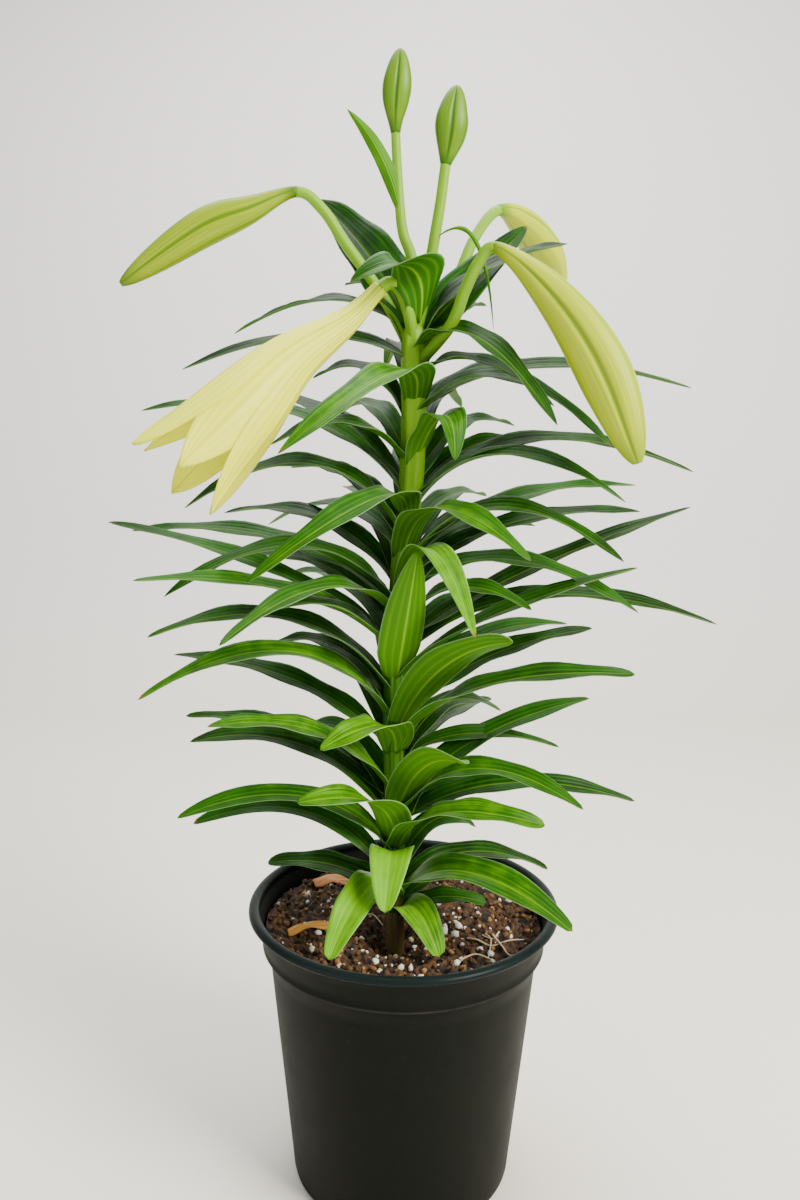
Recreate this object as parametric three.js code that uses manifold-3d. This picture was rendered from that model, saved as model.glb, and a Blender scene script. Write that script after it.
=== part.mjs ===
// Potted easter lily in a round nursery pot.
// Millimetres, +Z up. The origin is the middle of the pot's flat underside.
// +X is the right of the front view, +Y points away from it.

import * as THREE from 'three';
import Module from 'manifold-3d';

const wasm = await Module();
wasm.setup();

// Driving dimensions

const POT_HEIGHT = 152;
const RIM_RADIUS = 82.5;
const BASE_RADIUS = 59;
const WALL = 2;
const LIP_WIDTH = 6;
const LIP_HEIGHT = 4;
const COLLAR_HEIGHT = 17;
const COLLAR_TOP_RADIUS = 78;
const COLLAR_LOW_RADIUS = 75;
const COLLAR_STEP = 3;
const STEP_DROP = 1.2;
const POT_SIDES = 44;
const DRAIN_HOLES = 6;
const DRAIN_HOLE_RADIUS = 4;
const DRAIN_RING_RADIUS = 46;

const GAP = 0.3;
const SOIL_DEPTH_BELOW_RIM = 13;
const SOIL_PIT_DEPTH = 9;
const SOIL_PIT_RADIUS = 17;
const SOIL_CRUMB = 1.1;
const SOIL_RINGS = [1, 0.82, 0.64, 0.47, 0.32, 0.19, 0.08];

const STEM_SIDES = 10;
const STEM_STEPS = 16;
const STALK_SIDES = 8;
const STALK_STEPS = 8;
const STEM_FOOT_RADIUS = 4.5;
const STEM_FOOT_Z = 78;

const SLIVER = 0.03;
const BLADE_THICKNESS = 1.4;
const BLADE_CHANNEL = 0.14;
const BLADE_RINGS = [0, 0.12, 0.3, 0.5, 0.7, 0.87];

// Stem: x, y, z of its middle and its radius, from the foot in the soil to the top

const STEM = [
  [-4, -19, STEM_FOOT_Z, STEM_FOOT_RADIUS],
  [-4, -19, 134, STEM_FOOT_RADIUS],
  [-5, -14, 165, 5.2],
  [-5, -9, 200, 5.6],
  [-6, -2, 262, 5.8],
  [-3, 0, 325, 5.8],
  [2, 0, 385, 6],
  [2, 0, 440, 6],
  [2, 0, 450, 4],
];

// Leaves that face the front view: height of the root, heading of the tip (0 = right, 90 = back,
// 180 = left, 270 = front), reach, rise of the tip, arch, width, sideways sweep and extra roll

const LEAVES = [
  [155, 305, 38, -10, 18, 18, 0, 0],
  [154, 0, 47, 4, 11, 11, 0, 0],
  [160, 30, 37, 7, 5, 8, 0, 0],
  [163, 240, 61, -9, 30, 20, 0, 0],
  [165, 330, 97, 2, 36, 20, 0, 0],
  [163, 165, 71, 7, 16, 15, 0, 0],
  [168, 25, 95, -10, 24, 14, 0, 0],
  [170, 178, 105, 27, 55, 14, 0, 0],
  [180, 265, 48, -6, 26, 22, 0, 0],
  [186, 190, 110, 22, 48, 15, 0, 0],
  [186, 335, 80, 26, 43, 18, 45, 0],
  [188, 222, 62, 37, 42, 21, -55, 0],
  [200, 182, 105, 42, 56, 16, 0, 0],
  [201, 3, 126, 8, 32, 15, 0, 0],
  [204, 337, 98, 17, 50, 15, 0, 0],
  [205, 40, 95, -7, 12, 14, 0, 0],
  [206, 302, 62, 42, 38, 20, 0, -80],
  [211, 10, 104, 50, 35, 16, 0, 0],
  [213, 160, 125, 29, 38, 14, 0, 0],
  [215, 140, 112, 16, 28, 14, 0, 0],
  [217, 200, 96, 41, 44, 15, 0, 0],
  [235, 8, 88, 0, 18, 11, 0, 0],
  [239, 168, 122, 41, 39, 14, 0, 0],
  [239, 55, 100, 4, 8, 15, 0, 0],
  [236, 347, 119, 48, 58, 18, 50, 0],
  [234, 229, 54, 15, 36, 21, -55, 0],
  [253, 197, 128, 18, 66, 16, 0, 0],
  [248, 312, 79, 58, 44, 20, 0, -80],
  [255, 15, 110, 41, 31, 15, 0, 0],
  [262, 20, 100, 35, 40, 14, 0, 0],
  [268, 195, 123, 32, 60, 15, 0, 0],
  [273, 285, 38, 70, 14, 24, 0, 0],
  [277, 345, 119, 59, 34, 15, 20, 0],
  [285, 215, 80, 30, 40, 14, 0, 0],
  [286, 355, 160, 20, 53, 15, 0, 0],
  [291, 203, 131, 39, 40, 15, 0, 0],
  [294, 182, 145, 59, 38, 14, 0, 0],
  [295, 8, 155, 67, 31, 14, 0, 0],
  [300, 160, 100, 30, 45, 14, 0, 0],
  [302, 325, 76, 15, 35, 15, 0, 0],
  [308, 228, 114, -1, 37, 15, 0, 0],
  [312, 197, 117, 8, 58, 15, 0, 0],
  [314, 170, 145, 32, 42, 15, 0, 0],
  [316, 290, 94, -4, 60, 15, 0, 0],
  [316, 345, 119, -2, 44, 15, 0, 0],
  [325, 145, 125, 28, 42, 15, 0, 0],
  [327, 12, 130, 32, 34, 15, 0, 0],
  [330, 350, 70, 30, 40, 14, 0, 0],
  [331, 337, 112, 9, 60, 15, 0, 0],
  [335, 22, 140, 37, 39, 14, 0, 0],
  [334, 318, 79, 7, 54, 19, 38, 0],
  [343, 135, 112, 3, 34, 15, 0, 0],
  [350, 188, 109, 11, 60, 16, 0, 0],
  [360, 342, 108, 7, 54, 15, 0, 0],
  [363, 25, 75, 32, 38, 15, 0, 0],
  [360, 224, 98, -28, 32, 18, -55, 0],
  [366, 355, 140, 15, 51, 15, 0, 0],
  [371, 170, 142, 38, 54, 15, 0, 0],
  [372, 150, 105, 50, 40, 16, 0, 0],
  [380, 288, 62, 6, 50, 19, -30, 0],
  [385, 207, 74, 7, 31, 14, 0, 0],
  [408, 345, 97, -15, 44, 18, 0, 0],
  [410, 35, 103, 26, 28, 14, 0, 0],
  [413, 7, 144, 10, 33, 14, 0, 0],
  [414, 234, 98, -26, 38, 20, -55, 0],
  [430, 335, 72, -19, 18, 12, 0, 0],
  [438, 170, 121, -8, 20, 14, 0, 0],
  [442, 325, 79, -40, 26, 17, 0, 0],
  [445, 217, 38, 22, 45, 28, -110, 0],
  [445, 5, 75, 46, 36, 17, 0, 0],
  [447, 20, 60, 55, 14, 22, 0, 30],
  [448, 146, 60, 69, 34, 30, 0, 20],
  [446, 122, 58, 60, 30, 22, 0, 20],
  [448, 150, 113, 4, 34, 11, 0, 0],
];
const LEAF_LEAN = 22;
const LEAF_ROOT_DEPTH = 3;
const LEAF_ROOT_DROP = 8;
const LEAF_UPTURN = 1.3;
const LEAF_CLASP_HALF = 4;
const LEAF_CLASP_GROWTH = 0.75;
const LEAF_LOW_FULLNESS = 0.42;
const LEAF_HIGH_FULLNESS = 0.62;
const LEAF_LOW_Z = 170;
const LEAF_HIGH_Z = 370;

// Leaves round the back, each a golden angle's share further round than the one below

const BACK_LEAVES = 25;
const BACK_FIRST_Z = 172;
const BACK_LAST_Z = 436;
const BACK_HEADING = 90;
const BACK_SPREAD = 140;
const GOLDEN_SHARE = 0.618034;
const BACK_REACH = 112;
const BACK_WIDTH = 13;

// Flower heads: each stalk and axis as x, y, z of the points it passes through

const HEADS = {
  open_flower: {
    stalk: [[2, 0, 436], [0, -4, 452], [-4, -6, 464], [-9, -8, 469], [-15, -10, 466]],
    axis: [[-15, -10, 466], [-30, -18, 450], [-56, -30, 430], [-79, -43, 404], [-106, -56, 374]],
    stalkRadius: [3, 3.2],
    radius: 20,
  },
  bud_left: {
    stalk: [[2, 0, 436], [-12, 4, 462], [-32, 1, 489], [-43, -2, 504], [-55, -5, 511]],
    axis: [[-55, -5, 511], [-77, -7, 502], [-101, -8, 492], [-139, -12, 466]],
    stalkRadius: [3, 2.6],
    radius: 8.6,
    bulge: 0.62,
    swell: 1.65,
  },
  bud_front_right: {
    stalk: [[2, 0, 430], [19, -8, 449], [26, -12, 466], [32, -15, 478], [39, -18, 484]],
    axis: [[39, -18, 484], [56, -25, 471], [76, -33, 447], [91, -40, 420], [104, -47, 384]],
    stalkRadius: [3, 2.8],
    radius: 12.3,
    bulge: 0.7,
    swell: 1.5,
  },
  bud_back_right: {
    stalk: [[2, 0, 436], [15, 12, 455], [25, 19, 479], [33, 26, 498], [45, 36, 513]],
    axis: [[45, 36, 513], [60, 58, 512], [76, 81, 501], [89, 100, 484]],
    stalkRadius: [3, 2.7],
    radius: 10.5,
    bulge: 0.68,
    swell: 1.3,
  },
  bud_top_left: {
    stalk: [[2, 0, 440], [1, 0, 478], [-4, 0, 494], [-6, 0, 510], [-8, 0, 539]],
    axis: [[-8, 0, 539], [-8, 0, 553], [-7, 0, 565], [-6, 0, 577]],
    stalkRadius: [3, 2.3],
    radius: 6.8,
    bulge: 0.5,
    swell: 1.1,
  },
  bud_top_right: {
    stalk: [[2, 0, 440], [9, 0, 478], [12, 0, 496], [14, 0, 509], [16, 0, 525]],
    axis: [[16, 0, 525], [18, 0, 537], [19, 0, 548], [21, 0, 561]],
    stalkRadius: [3, 2.6],
    radius: 7.8,
    bulge: 0.52,
    swell: 1.1,
  },
};
const BUD_SIDES = 18;
const BUD_RINGS = 9;
const BUD_TIP_SHARE = 0.985;
const BUD_RIDGE = 0.05;
const BUD_GROOVE = 0.93;

const PETAL_RINGS = [0, 0.15, 0.32, 0.48, 0.62, 0.74, 0.84, 0.93];
const PETAL_COLUMNS = 4;
const PETAL_THICKNESS = 1.1;
const PETAL_LAYER = 0.9;
const PETAL_TIP_BLUNT = 0.06;

// Bracts on the stalks of the upper buds: x, y, z of root, bend and tip, then width

const BRACTS = [
  [[-5, -1, 501], [-11, -4, 530], [-31, -2, 549], 7.5],
  [[11, -1, 490], [34, -8, 512], [40, -10, 448], 2.2],
];
const BRACT_FULLNESS = 0.65;

// Small helpers

const V = (x, y, z) => new THREE.Vector3(x, y, z);
const { clamp, lerp } = THREE.MathUtils;
const rad = THREE.MathUtils.degToRad;

function seededRandom(seed) {
  let state = seed;
  return () => {
    state = (state * 1664525 + 1013904223) % 4294967296;
    return state / 4294967296;
  };
}

function makeSolid(points, triangles) {
  const mesh = new wasm.Mesh({
    numProp: 3,
    vertProperties: new Float32Array(points.flatMap((p) => [p.x, p.y, p.z])),
    triVerts: new Uint32Array(triangles.flat()),
  });
  return new wasm.Manifold(mesh);
}

// Point and radius at share t of a list of points, passing through each of them
function alongPoints(list, t) {
  const place = Math.min(t, 0.999999) * (list.length - 1);
  const k = Math.floor(place);
  const f = place - k;
  const at = (i) => list[Math.max(0, Math.min(list.length - 1, i))];
  const [a, b, c, d] = [at(k - 1), at(k), at(k + 1), at(k + 2)];
  return b.map((value, i) => value
    + 0.5 * f * (c[i] - a[i]
      + f * (2 * a[i] - 5 * value + 4 * c[i] - d[i]
        + f * (3 * (value - c[i]) + d[i] - a[i]))));
}

function stemAt(z) {
  let k = 0;
  while (k < STEM.length - 2 && STEM[k + 1][2] < z) k += 1;
  const f = clamp((z - STEM[k][2]) / (STEM[k + 1][2] - STEM[k][2]), 0, 1);
  return V(lerp(STEM[k][0], STEM[k + 1][0], f), lerp(STEM[k][1], STEM[k + 1][1], f), z);
}

// Stations at the given shares of a line, each with two directions across it that never spin
function stationsAlong(list, shares) {
  const step = 0.004;
  let across = V(0, 1, 0);
  return shares.map((t) => {
    const ahead = V(...alongPoints(list, Math.min(1, t + step)).slice(0, 3));
    const behind = V(...alongPoints(list, Math.max(0, t - step)).slice(0, 3));
    const along = ahead.sub(behind).normalize();
    across = across.clone().addScaledVector(along, -across.dot(along)).normalize();
    const middle = V(...alongPoints(list, t).slice(0, 3));
    return { middle, across, up: along.clone().cross(across) };
  });
}

// Point off a station at an angle round the line
function offStation({ middle, across, up }, angle, distance) {
  return middle.clone()
    .addScaledVector(across, Math.cos(angle) * distance)
    .addScaledVector(up, Math.sin(angle) * distance);
}

// Closed skin over rings that all hold the same number of points
function skinRings(rings) {
  const sides = rings[0].length;
  const points = rings.flat();
  const first = points.length;
  const triangles = [];
  const middle = (ring) => ring.reduce((sum, p) => sum.add(p), V(0, 0, 0)).divideScalar(sides);
  points.push(middle(rings[0]), middle(rings[rings.length - 1]));
  const lastRing = (rings.length - 1) * sides;
  for (let j = 0; j < sides; j += 1) {
    const next = (j + 1) % sides;
    triangles.push([first, next, j], [first + 1, lastRing + j, lastRing + next]);
    for (let i = 0; i < rings.length - 1; i += 1) {
      const low = i * sides;
      const high = low + sides;
      triangles.push([low + j, low + next, high + next], [low + j, high + next, high + j]);
    }
  }
  return makeSolid(points, triangles);
}

function evenShares(from, to, steps) {
  return Array.from({ length: steps + 1 }, (_, i) => lerp(from, to, i / steps));
}

// Round body along a line, its radius given for the share and the angle
function sweptBody(list, shares, sides, radiusAt) {
  return skinRings(stationsAlong(list, shares).map((station, i) => (
    Array.from({ length: sides }, (_, j) => {
      const angle = (2 * Math.PI * j) / sides;
      return offStation(station, angle, radiusAt(shares[i], angle, j));
    }))));
}

// Turned body from a closed outline of radius and height pairs
function turned(outline, sides) {
  return wasm.Manifold.revolve([outline], sides);
}

// The largest body of a fused solid, with any hollow that the fusing sealed filled
function wholeBody(solid) {
  return solid.simplify(SLIVER).decompose().reduce((best, body) => (body.volume() > best.volume() ? body : best));
}

function cylinderAt(x, y, low, high, radius, sides) {
  return wasm.Manifold.cylinder(high - low, radius, radius, sides).translate([x, y, low]);
}

// Pot

function potRadiusAt(z) {
  const stepZ = POT_HEIGHT - LIP_HEIGHT - COLLAR_HEIGHT;
  return lerp(BASE_RADIUS, COLLAR_LOW_RADIUS - COLLAR_STEP, Math.min(1, z / stepZ));
}

function makePot() {
  const lipLow = POT_HEIGHT - LIP_HEIGHT;
  const stepZ = lipLow - COLLAR_HEIGHT;
  const stepRadius = potRadiusAt(stepZ);
  const lipMiddle = RIM_RADIUS - LIP_WIDTH / 2;
  const lip = Array.from({ length: 5 }, (_, i) => {
    const angle = (Math.PI * i) / 4;
    return [
      lipMiddle + (LIP_WIDTH / 2) * Math.cos(angle),
      lipLow + LIP_HEIGHT * (0.3 + 0.7 * Math.sin(angle)),
    ];
  });
  const outline = [
    [0, 0],
    [BASE_RADIUS - 2, 0],
    [BASE_RADIUS, 2],
    [stepRadius, stepZ - STEP_DROP],
    [COLLAR_LOW_RADIUS, stepZ],
    [COLLAR_TOP_RADIUS, lipLow - 2],
    [RIM_RADIUS - 1, lipLow],
    ...lip,
    [COLLAR_TOP_RADIUS - WALL, lipLow - 1],
    [COLLAR_LOW_RADIUS - WALL, stepZ + WALL],
    [stepRadius - WALL, stepZ + WALL - STEP_DROP],
    [BASE_RADIUS - WALL, WALL],
    [0, WALL],
  ];
  let pot = turned(outline, POT_SIDES);
  for (let i = 0; i < DRAIN_HOLES; i += 1) {
    const angle = (2 * Math.PI * i) / DRAIN_HOLES;
    const x = DRAIN_RING_RADIUS * Math.cos(angle);
    const y = DRAIN_RING_RADIUS * Math.sin(angle);
    pot = pot.subtract(cylinderAt(x, y, -1, WALL + 1, DRAIN_HOLE_RADIUS, 12));
  }
  return pot;
}

// Soil: crumbly top with a shallow pit round the stem

function soilTop(x, y) {
  const level = POT_HEIGHT - SOIL_DEPTH_BELOW_RIM;
  const fromStem = Math.hypot(x - STEM[0][0], y - STEM[0][1]) / SOIL_PIT_RADIUS;
  const pit = SOIL_PIT_DEPTH * Math.exp(-fromStem * fromStem);
  const crumbs = Math.sin(0.37 * x + 1.3) * Math.cos(0.43 * y)
    + 0.6 * Math.sin(0.81 * x - 0.52 * y) + 0.5 * Math.cos(0.66 * x + 0.93 * y + 0.7);
  return level - pit + SOIL_CRUMB * crumbs;
}

function makeSoil() {
  const low = WALL + GAP;
  const ledgeZ = POT_HEIGHT - LIP_HEIGHT - COLLAR_HEIGHT + WALL;
  const topRadius = (COLLAR_LOW_RADIUS + COLLAR_TOP_RADIUS) / 2 - WALL - 1;
  const ringAt = (radius, height, share = 1) => Array.from({ length: POT_SIDES }, (_, j) => {
    const angle = (2 * Math.PI * j) / POT_SIDES;
    const x = STEM[0][0] * (1 - share) + radius * share * Math.cos(angle);
    const y = STEM[0][1] * (1 - share) + radius * share * Math.sin(angle);
    return V(x, y, height(x, y));
  });
  const body = [
    ringAt(BASE_RADIUS - WALL - GAP, () => low),
    ringAt(potRadiusAt(ledgeZ) - WALL - GAP, () => ledgeZ - STEP_DROP),
    ringAt(COLLAR_LOW_RADIUS - WALL - GAP, () => ledgeZ + GAP),
    ...SOIL_RINGS.map((share) => ringAt(topRadius, soilTop, share)),
  ];
  const hole = cylinderAt(STEM[0][0], STEM[0][1], STEM_FOOT_Z - GAP, POT_HEIGHT,
    STEM_FOOT_RADIUS + GAP, 20);
  return skinRings(body).subtract(hole);
}

// Leaf blade: a folded lance along a bent line

function lanceWidth(t, fullness) {
  const body = Math.sin(Math.PI * t ** 0.8) ** fullness;
  return Math.max(body, 0.5 * (1 - 2 * t));
}

function bladeAlong(points, sides, halves, thickness) {
  const corners = [];
  const triangles = [];
  halves.forEach((half, i) => {
    const ahead = points[Math.min(i + 1, points.length - 1)];
    const behind = points[Math.max(i - 1, 0)];
    const along = ahead.clone().sub(behind).normalize();
    const up = sides[i].clone().cross(along).normalize();
    const side = along.clone().cross(up).normalize();
    const thick = thickness * lerp(1, 0.7, i / halves.length);
    corners.push(
      points[i].clone().addScaledVector(side, half).addScaledVector(up, half * 2 * BLADE_CHANNEL),
      points[i].clone().addScaledVector(up, thick / 2),
      points[i].clone().addScaledVector(side, -half).addScaledVector(up, half * 2 * BLADE_CHANNEL),
      points[i].clone().addScaledVector(up, -thick / 2),
    );
  });
  const tip = corners.length;
  corners.push(points[points.length - 1].clone());
  triangles.push([0, 1, 2], [0, 2, 3]);
  const rings = halves.length;
  for (let i = 0; i < rings; i += 1) {
    const low = i * 4;
    for (let j = 0; j < 4; j += 1) {
      const next = (j + 1) % 4;
      if (i === rings - 1) triangles.push([low + j, tip, low + next]);
      else {
        triangles.push([low + j, low + 4 + j, low + 4 + next]);
        triangles.push([low + j, low + 4 + next, low + next]);
      }
    }
  }
  return makeSolid(corners, triangles);
}

function leafBlade([height, heading, reach, rise, arch, width, sweep, roll]) {
  const base = height - LEAF_ROOT_DROP;
  const climb = rise + LEAF_ROOT_DROP;
  const bow = arch + 1.5 * LEAF_ROOT_DROP;
  const root = stemAt(base);
  const first = (LEAF_ROOT_DEPTH / reach) ** (1 / LEAF_UPTURN);
  const shares = BLADE_RINGS.map((ring) => lerp(first, 1, ring));
  const ascent = clamp((height - LEAF_LOW_Z) / (LEAF_HIGH_Z - LEAF_LOW_Z), 0, 1);
  const fullness = lerp(LEAF_LOW_FULLNESS, LEAF_HIGH_FULLNESS, ascent);
  const halves = shares.map((t) => {
    const clasp = LEAF_CLASP_HALF + LEAF_CLASP_GROWTH * reach * t ** LEAF_UPTURN;
    return Math.min((width * lanceWidth(t, fullness)) / 2, clasp);
  });
  const sides = [];
  const points = [...shares, 1].map((t) => {
    const turn = rad(heading - sweep * (1 - t));
    const lean = -rad(LEAF_LEAN + roll) * Math.cos(turn) * Math.min(1, 3 * t);
    const run = reach * t ** LEAF_UPTURN;
    const runPace = reach * LEAF_UPTURN * t ** (LEAF_UPTURN - 1);
    const slope = Math.atan2(2 * (1 - 2 * t) * bow + 2 * t * climb, runPace);
    const up = V(-Math.sin(slope) * Math.cos(turn), -Math.sin(slope) * Math.sin(turn), Math.cos(slope));
    sides.push(V(Math.sin(turn), -Math.cos(turn), 0).multiplyScalar(Math.cos(lean))
      .addScaledVector(up, Math.sin(lean)));
    return V(
      root.x + run * Math.cos(turn),
      root.y + run * Math.sin(turn),
      base + 2 * t * (1 - t) * bow + t * t * climb,
    );
  });
  return bladeAlong(points, sides, halves, BLADE_THICKNESS);
}

function backLeaves() {
  const random = seededRandom(8);
  return Array.from({ length: BACK_LEAVES }, (_, i) => {
    const share = i / (BACK_LEAVES - 1);
    const height = lerp(BACK_FIRST_Z, BACK_LAST_Z, share);
    const turn = ((i * GOLDEN_SHARE) % 1) - 0.5;
    const fullness = Math.sin(Math.PI * (0.2 + 0.62 * share));
    return [
      height,
      BACK_HEADING + BACK_SPREAD * turn,
      BACK_REACH * fullness * (0.92 + 0.16 * random()) * (1 - 0.55 * Math.abs(turn)),
      20 + 22 * random(),
      36 + 16 * random(),
      BACK_WIDTH + 2 * random(),
      0,
      0,
    ];
  });
}

function bractBlade([root, bend, tip, width]) {
  const shares = [...BLADE_RINGS, 1];
  const [a, b, c] = [V(...root), V(...bend), V(...tip)];
  const points = shares.map((t) => a.clone().multiplyScalar((1 - t) * (1 - t))
    .addScaledVector(b, 2 * t * (1 - t)).addScaledVector(c, t * t));
  const flat = c.clone().sub(a).cross(V(0, 1, 0)).normalize();
  const halves = BLADE_RINGS.map((t) => (width * lanceWidth(t, BRACT_FULLNESS)) / 2);
  return bladeAlong(points, shares.map(() => flat), halves, BLADE_THICKNESS);
}

// Stalk and axis of a flower head as one line, and the share of it where the head begins
function headLine({ stalk, axis }) {
  return [...stalk, ...axis.slice(1)];
}

function neckShare({ stalk, axis }) {
  return (stalk.length - 1) / (stalk.length + axis.length - 2);
}

function shareOfGap(line, t) {
  const step = 0.01;
  const length = V(...alongPoints(line, t)).distanceTo(V(...alongPoints(line, t - step)));
  return (GAP / length) * step;
}

// Leafy stem: stem, stalks, leaves and bracts grown together

function makeLeafyStem() {
  const stem = sweptBody(STEM, evenShares(0, 1, STEM_STEPS), STEM_SIDES,
    (t) => alongPoints(STEM, t)[3]);
  const pieces = [stem];
  Object.values(HEADS).forEach((head) => {
    const [low, high] = head.stalkRadius;
    const line = headLine(head);
    const end = neckShare(head) - shareOfGap(line, neckShare(head));
    pieces.push(sweptBody(line, evenShares(0, end, STALK_STEPS), STALK_SIDES,
      (t) => lerp(low, high, t / end)));
  });
  [...LEAVES, ...backLeaves()].forEach((leaf) => pieces.push(leafBlade(leaf)));
  BRACTS.forEach((bract) => pieces.push(bractBlade(bract)));
  return wholeBody(wasm.Manifold.union(pieces));
}

// Buds: long closed heads with three keeled sepals and grooves between them

function budRadius(t, { stalkRadius, radius, bulge, swell }) {
  if (t > bulge) return radius * Math.cos((Math.PI / 2) * ((t - bulge) / (1 - bulge))) ** 0.7;
  return lerp(stalkRadius[1], radius, Math.sin((Math.PI / 2) * (t / bulge)) ** swell);
}

function makeBud(head) {
  const neck = neckShare(head);
  const shares = evenShares(0, BUD_TIP_SHARE, BUD_RINGS).map((t) => lerp(neck, 1, t));
  return sweptBody(headLine(head), shares, BUD_SIDES, (share, angle, j) => {
    const t = (share - neck) / (1 - neck);
    const keel = 1 + BUD_RIDGE * Math.min(1, 3 * t) * Math.cos(3 * angle);
    return budRadius(t, head) * keel * (j % 6 === 3 ? BUD_GROOVE : 1);
  });
}

// Open flower: six petals in two layers round one trumpet

function trumpetRadius(t, foot, full) {
  const swell = (1 - Math.cos(Math.PI * Math.min(1, t / 0.95) ** 1.1)) / 2;
  const flare = 4 * Math.max(0, (t - 0.78) / 0.22) ** 2;
  return lerp(foot, full, swell) + flare;
}

function petal(head, index) {
  const outer = index % 2 === 0;
  const middle = (index * Math.PI) / 3;
  const spread = rad(outer ? 42 : 48);
  const lift = outer ? PETAL_LAYER : 0;
  const length = outer ? 1 : 0.96;
  const shares = PETAL_RINGS.map((t) => t * length);
  const neck = neckShare(head);
  const stations = stationsAlong(headLine(head), [...shares, length].map((t) => lerp(neck, 1, t)));
  const at = (i, t, angle, extra) => {
    const foot = head.stalkRadius[1] - PETAL_THICKNESS;
    return offStation(stations[i], angle, trumpetRadius(t, foot, head.radius) + lift + extra);
  };
  const rings = shares.map((t, i) => {
    const share = t / length;
    const narrow = share < 0.72 ? 1 : Math.cos((Math.PI / 2) * ((share - 0.72) / 0.28)) ** 0.7;
    const columns = Array.from({ length: PETAL_COLUMNS + 1 }, (_, j) => middle
      + spread * narrow * ((2 * j) / PETAL_COLUMNS - 1));
    const outside = columns.map((angle) => at(i, t, angle, PETAL_THICKNESS));
    const inside = columns.slice().reverse().map((angle) => at(i, t, angle, 0));
    return [...outside, ...inside];
  });
  const tip = at(shares.length, length, middle, PETAL_THICKNESS / 2);
  const point = rings[rings.length - 1].map((corner) => tip.clone().lerp(corner, PETAL_TIP_BLUNT));
  return skinRings([...rings, point]);
}

function makeFlower(head) {
  const petals = Array.from({ length: 6 }, (_, i) => petal(head, i));
  const neck = neckShare(head);
  const foot = sweptBody(headLine(head), evenShares(neck, lerp(neck, 1, 0.1), 2), STEM_SIDES,
    (t) => lerp(head.stalkRadius[1], head.stalkRadius[1] + 2, (t - neck) / (1 - neck)));
  return wholeBody(wasm.Manifold.union([...petals, foot]));
}

// Materials and nodes

function surface(color, roughness, metalness = 0) {
  return new THREE.MeshStandardMaterial({ color, roughness, metalness });
}

function toMesh(name, solid, material) {
  const { vertProperties, triVerts } = solid.getMesh();
  const geometry = new THREE.BufferGeometry();
  geometry.setAttribute('position', new THREE.BufferAttribute(new Float32Array(vertProperties), 3));
  geometry.setIndex(new THREE.BufferAttribute(new Uint32Array(triVerts), 1));
  geometry.computeVertexNormals();
  const mesh = new THREE.Mesh(geometry, material);
  mesh.name = name;
  return mesh;
}

const lily = new THREE.Group();
lily.name = 'potted_easter_lily';
lily.add(toMesh('pot', makePot(), surface(0x1c201c, 0.45)));
lily.add(toMesh('soil', makeSoil(), surface(0x2e1c10, 0.95)));
lily.add(toMesh('leafy_stem', makeLeafyStem(), surface(0x2f6d16, 0.4)));
Object.entries(HEADS).forEach(([name, head]) => {
  const isFlower = name === 'open_flower';
  const solid = isFlower ? makeFlower(head) : makeBud(head);
  lily.add(toMesh(name, solid, surface(isFlower ? 0xe9e79a : 0xb4c22c, 0.5)));
});

export default lily;
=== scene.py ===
import math
import random

import bpy
import numpy as np
from bpy.props import FloatProperty, FloatVectorProperty, IntProperty, PointerProperty
from mathutils import Matrix, Vector, noise


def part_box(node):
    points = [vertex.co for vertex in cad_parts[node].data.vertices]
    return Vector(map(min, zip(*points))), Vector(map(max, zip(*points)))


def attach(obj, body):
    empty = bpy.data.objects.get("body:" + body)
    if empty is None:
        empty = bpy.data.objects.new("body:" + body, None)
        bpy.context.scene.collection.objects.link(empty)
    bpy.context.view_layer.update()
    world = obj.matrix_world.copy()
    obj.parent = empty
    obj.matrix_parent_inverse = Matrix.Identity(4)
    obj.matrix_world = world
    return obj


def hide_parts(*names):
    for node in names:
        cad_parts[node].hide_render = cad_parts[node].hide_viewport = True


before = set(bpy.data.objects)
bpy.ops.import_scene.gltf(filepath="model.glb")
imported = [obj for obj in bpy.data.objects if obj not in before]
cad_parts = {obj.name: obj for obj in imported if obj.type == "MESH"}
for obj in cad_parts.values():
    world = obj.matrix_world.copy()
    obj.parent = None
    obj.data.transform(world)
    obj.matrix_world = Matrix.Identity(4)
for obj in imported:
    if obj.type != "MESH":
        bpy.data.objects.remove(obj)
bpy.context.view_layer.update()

bl_info = {
    "name": "Potted Easter Lily",
    "version": (1, 0, 0),
    "blender": (4, 5, 0),
    "location": "View3D > Sidebar > Lily",
    "description": "Builds a potted easter lily with its leaves, buds, open flower, soil and pot",
    "category": "Add Mesh",
}

# Sizes in millimetres, angles in degrees. The frame's origin is the middle of the pot's underside.

MM = 0.001

POT_HIGH = np.array(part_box("pot")[1]) / MM
POT_HEIGHT = POT_HIGH[2]
RIM_RADIUS = POT_HIGH[0]
BASE_RADIUS = 59
WALL = 2
LIP_HEIGHT = 4
COLLAR_HEIGHT = 17
COLLAR_TOP_RADIUS = 78
COLLAR_LOW_RADIUS = 75
COLLAR_STEP = 3
STEP_DROP = 1.2
LIP_LOW = POT_HEIGHT - LIP_HEIGHT
STEP_Z = LIP_LOW - COLLAR_HEIGHT
DRAIN_HOLES = 6
DRAIN_RING_RADIUS = 46

SOIL_DEPTH_BELOW_RIM = 13
SOIL_PIT_DEPTH = 9
SOIL_PIT_RADIUS = 17
SOIL_CRUMB = 1.1
SOIL_RADIUS = (COLLAR_LOW_RADIUS + COLLAR_TOP_RADIUS) / 2 - WALL - 1
PERLITE_SMALLEST = 1.2
CRUMB_SMALLEST = 0.8

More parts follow.
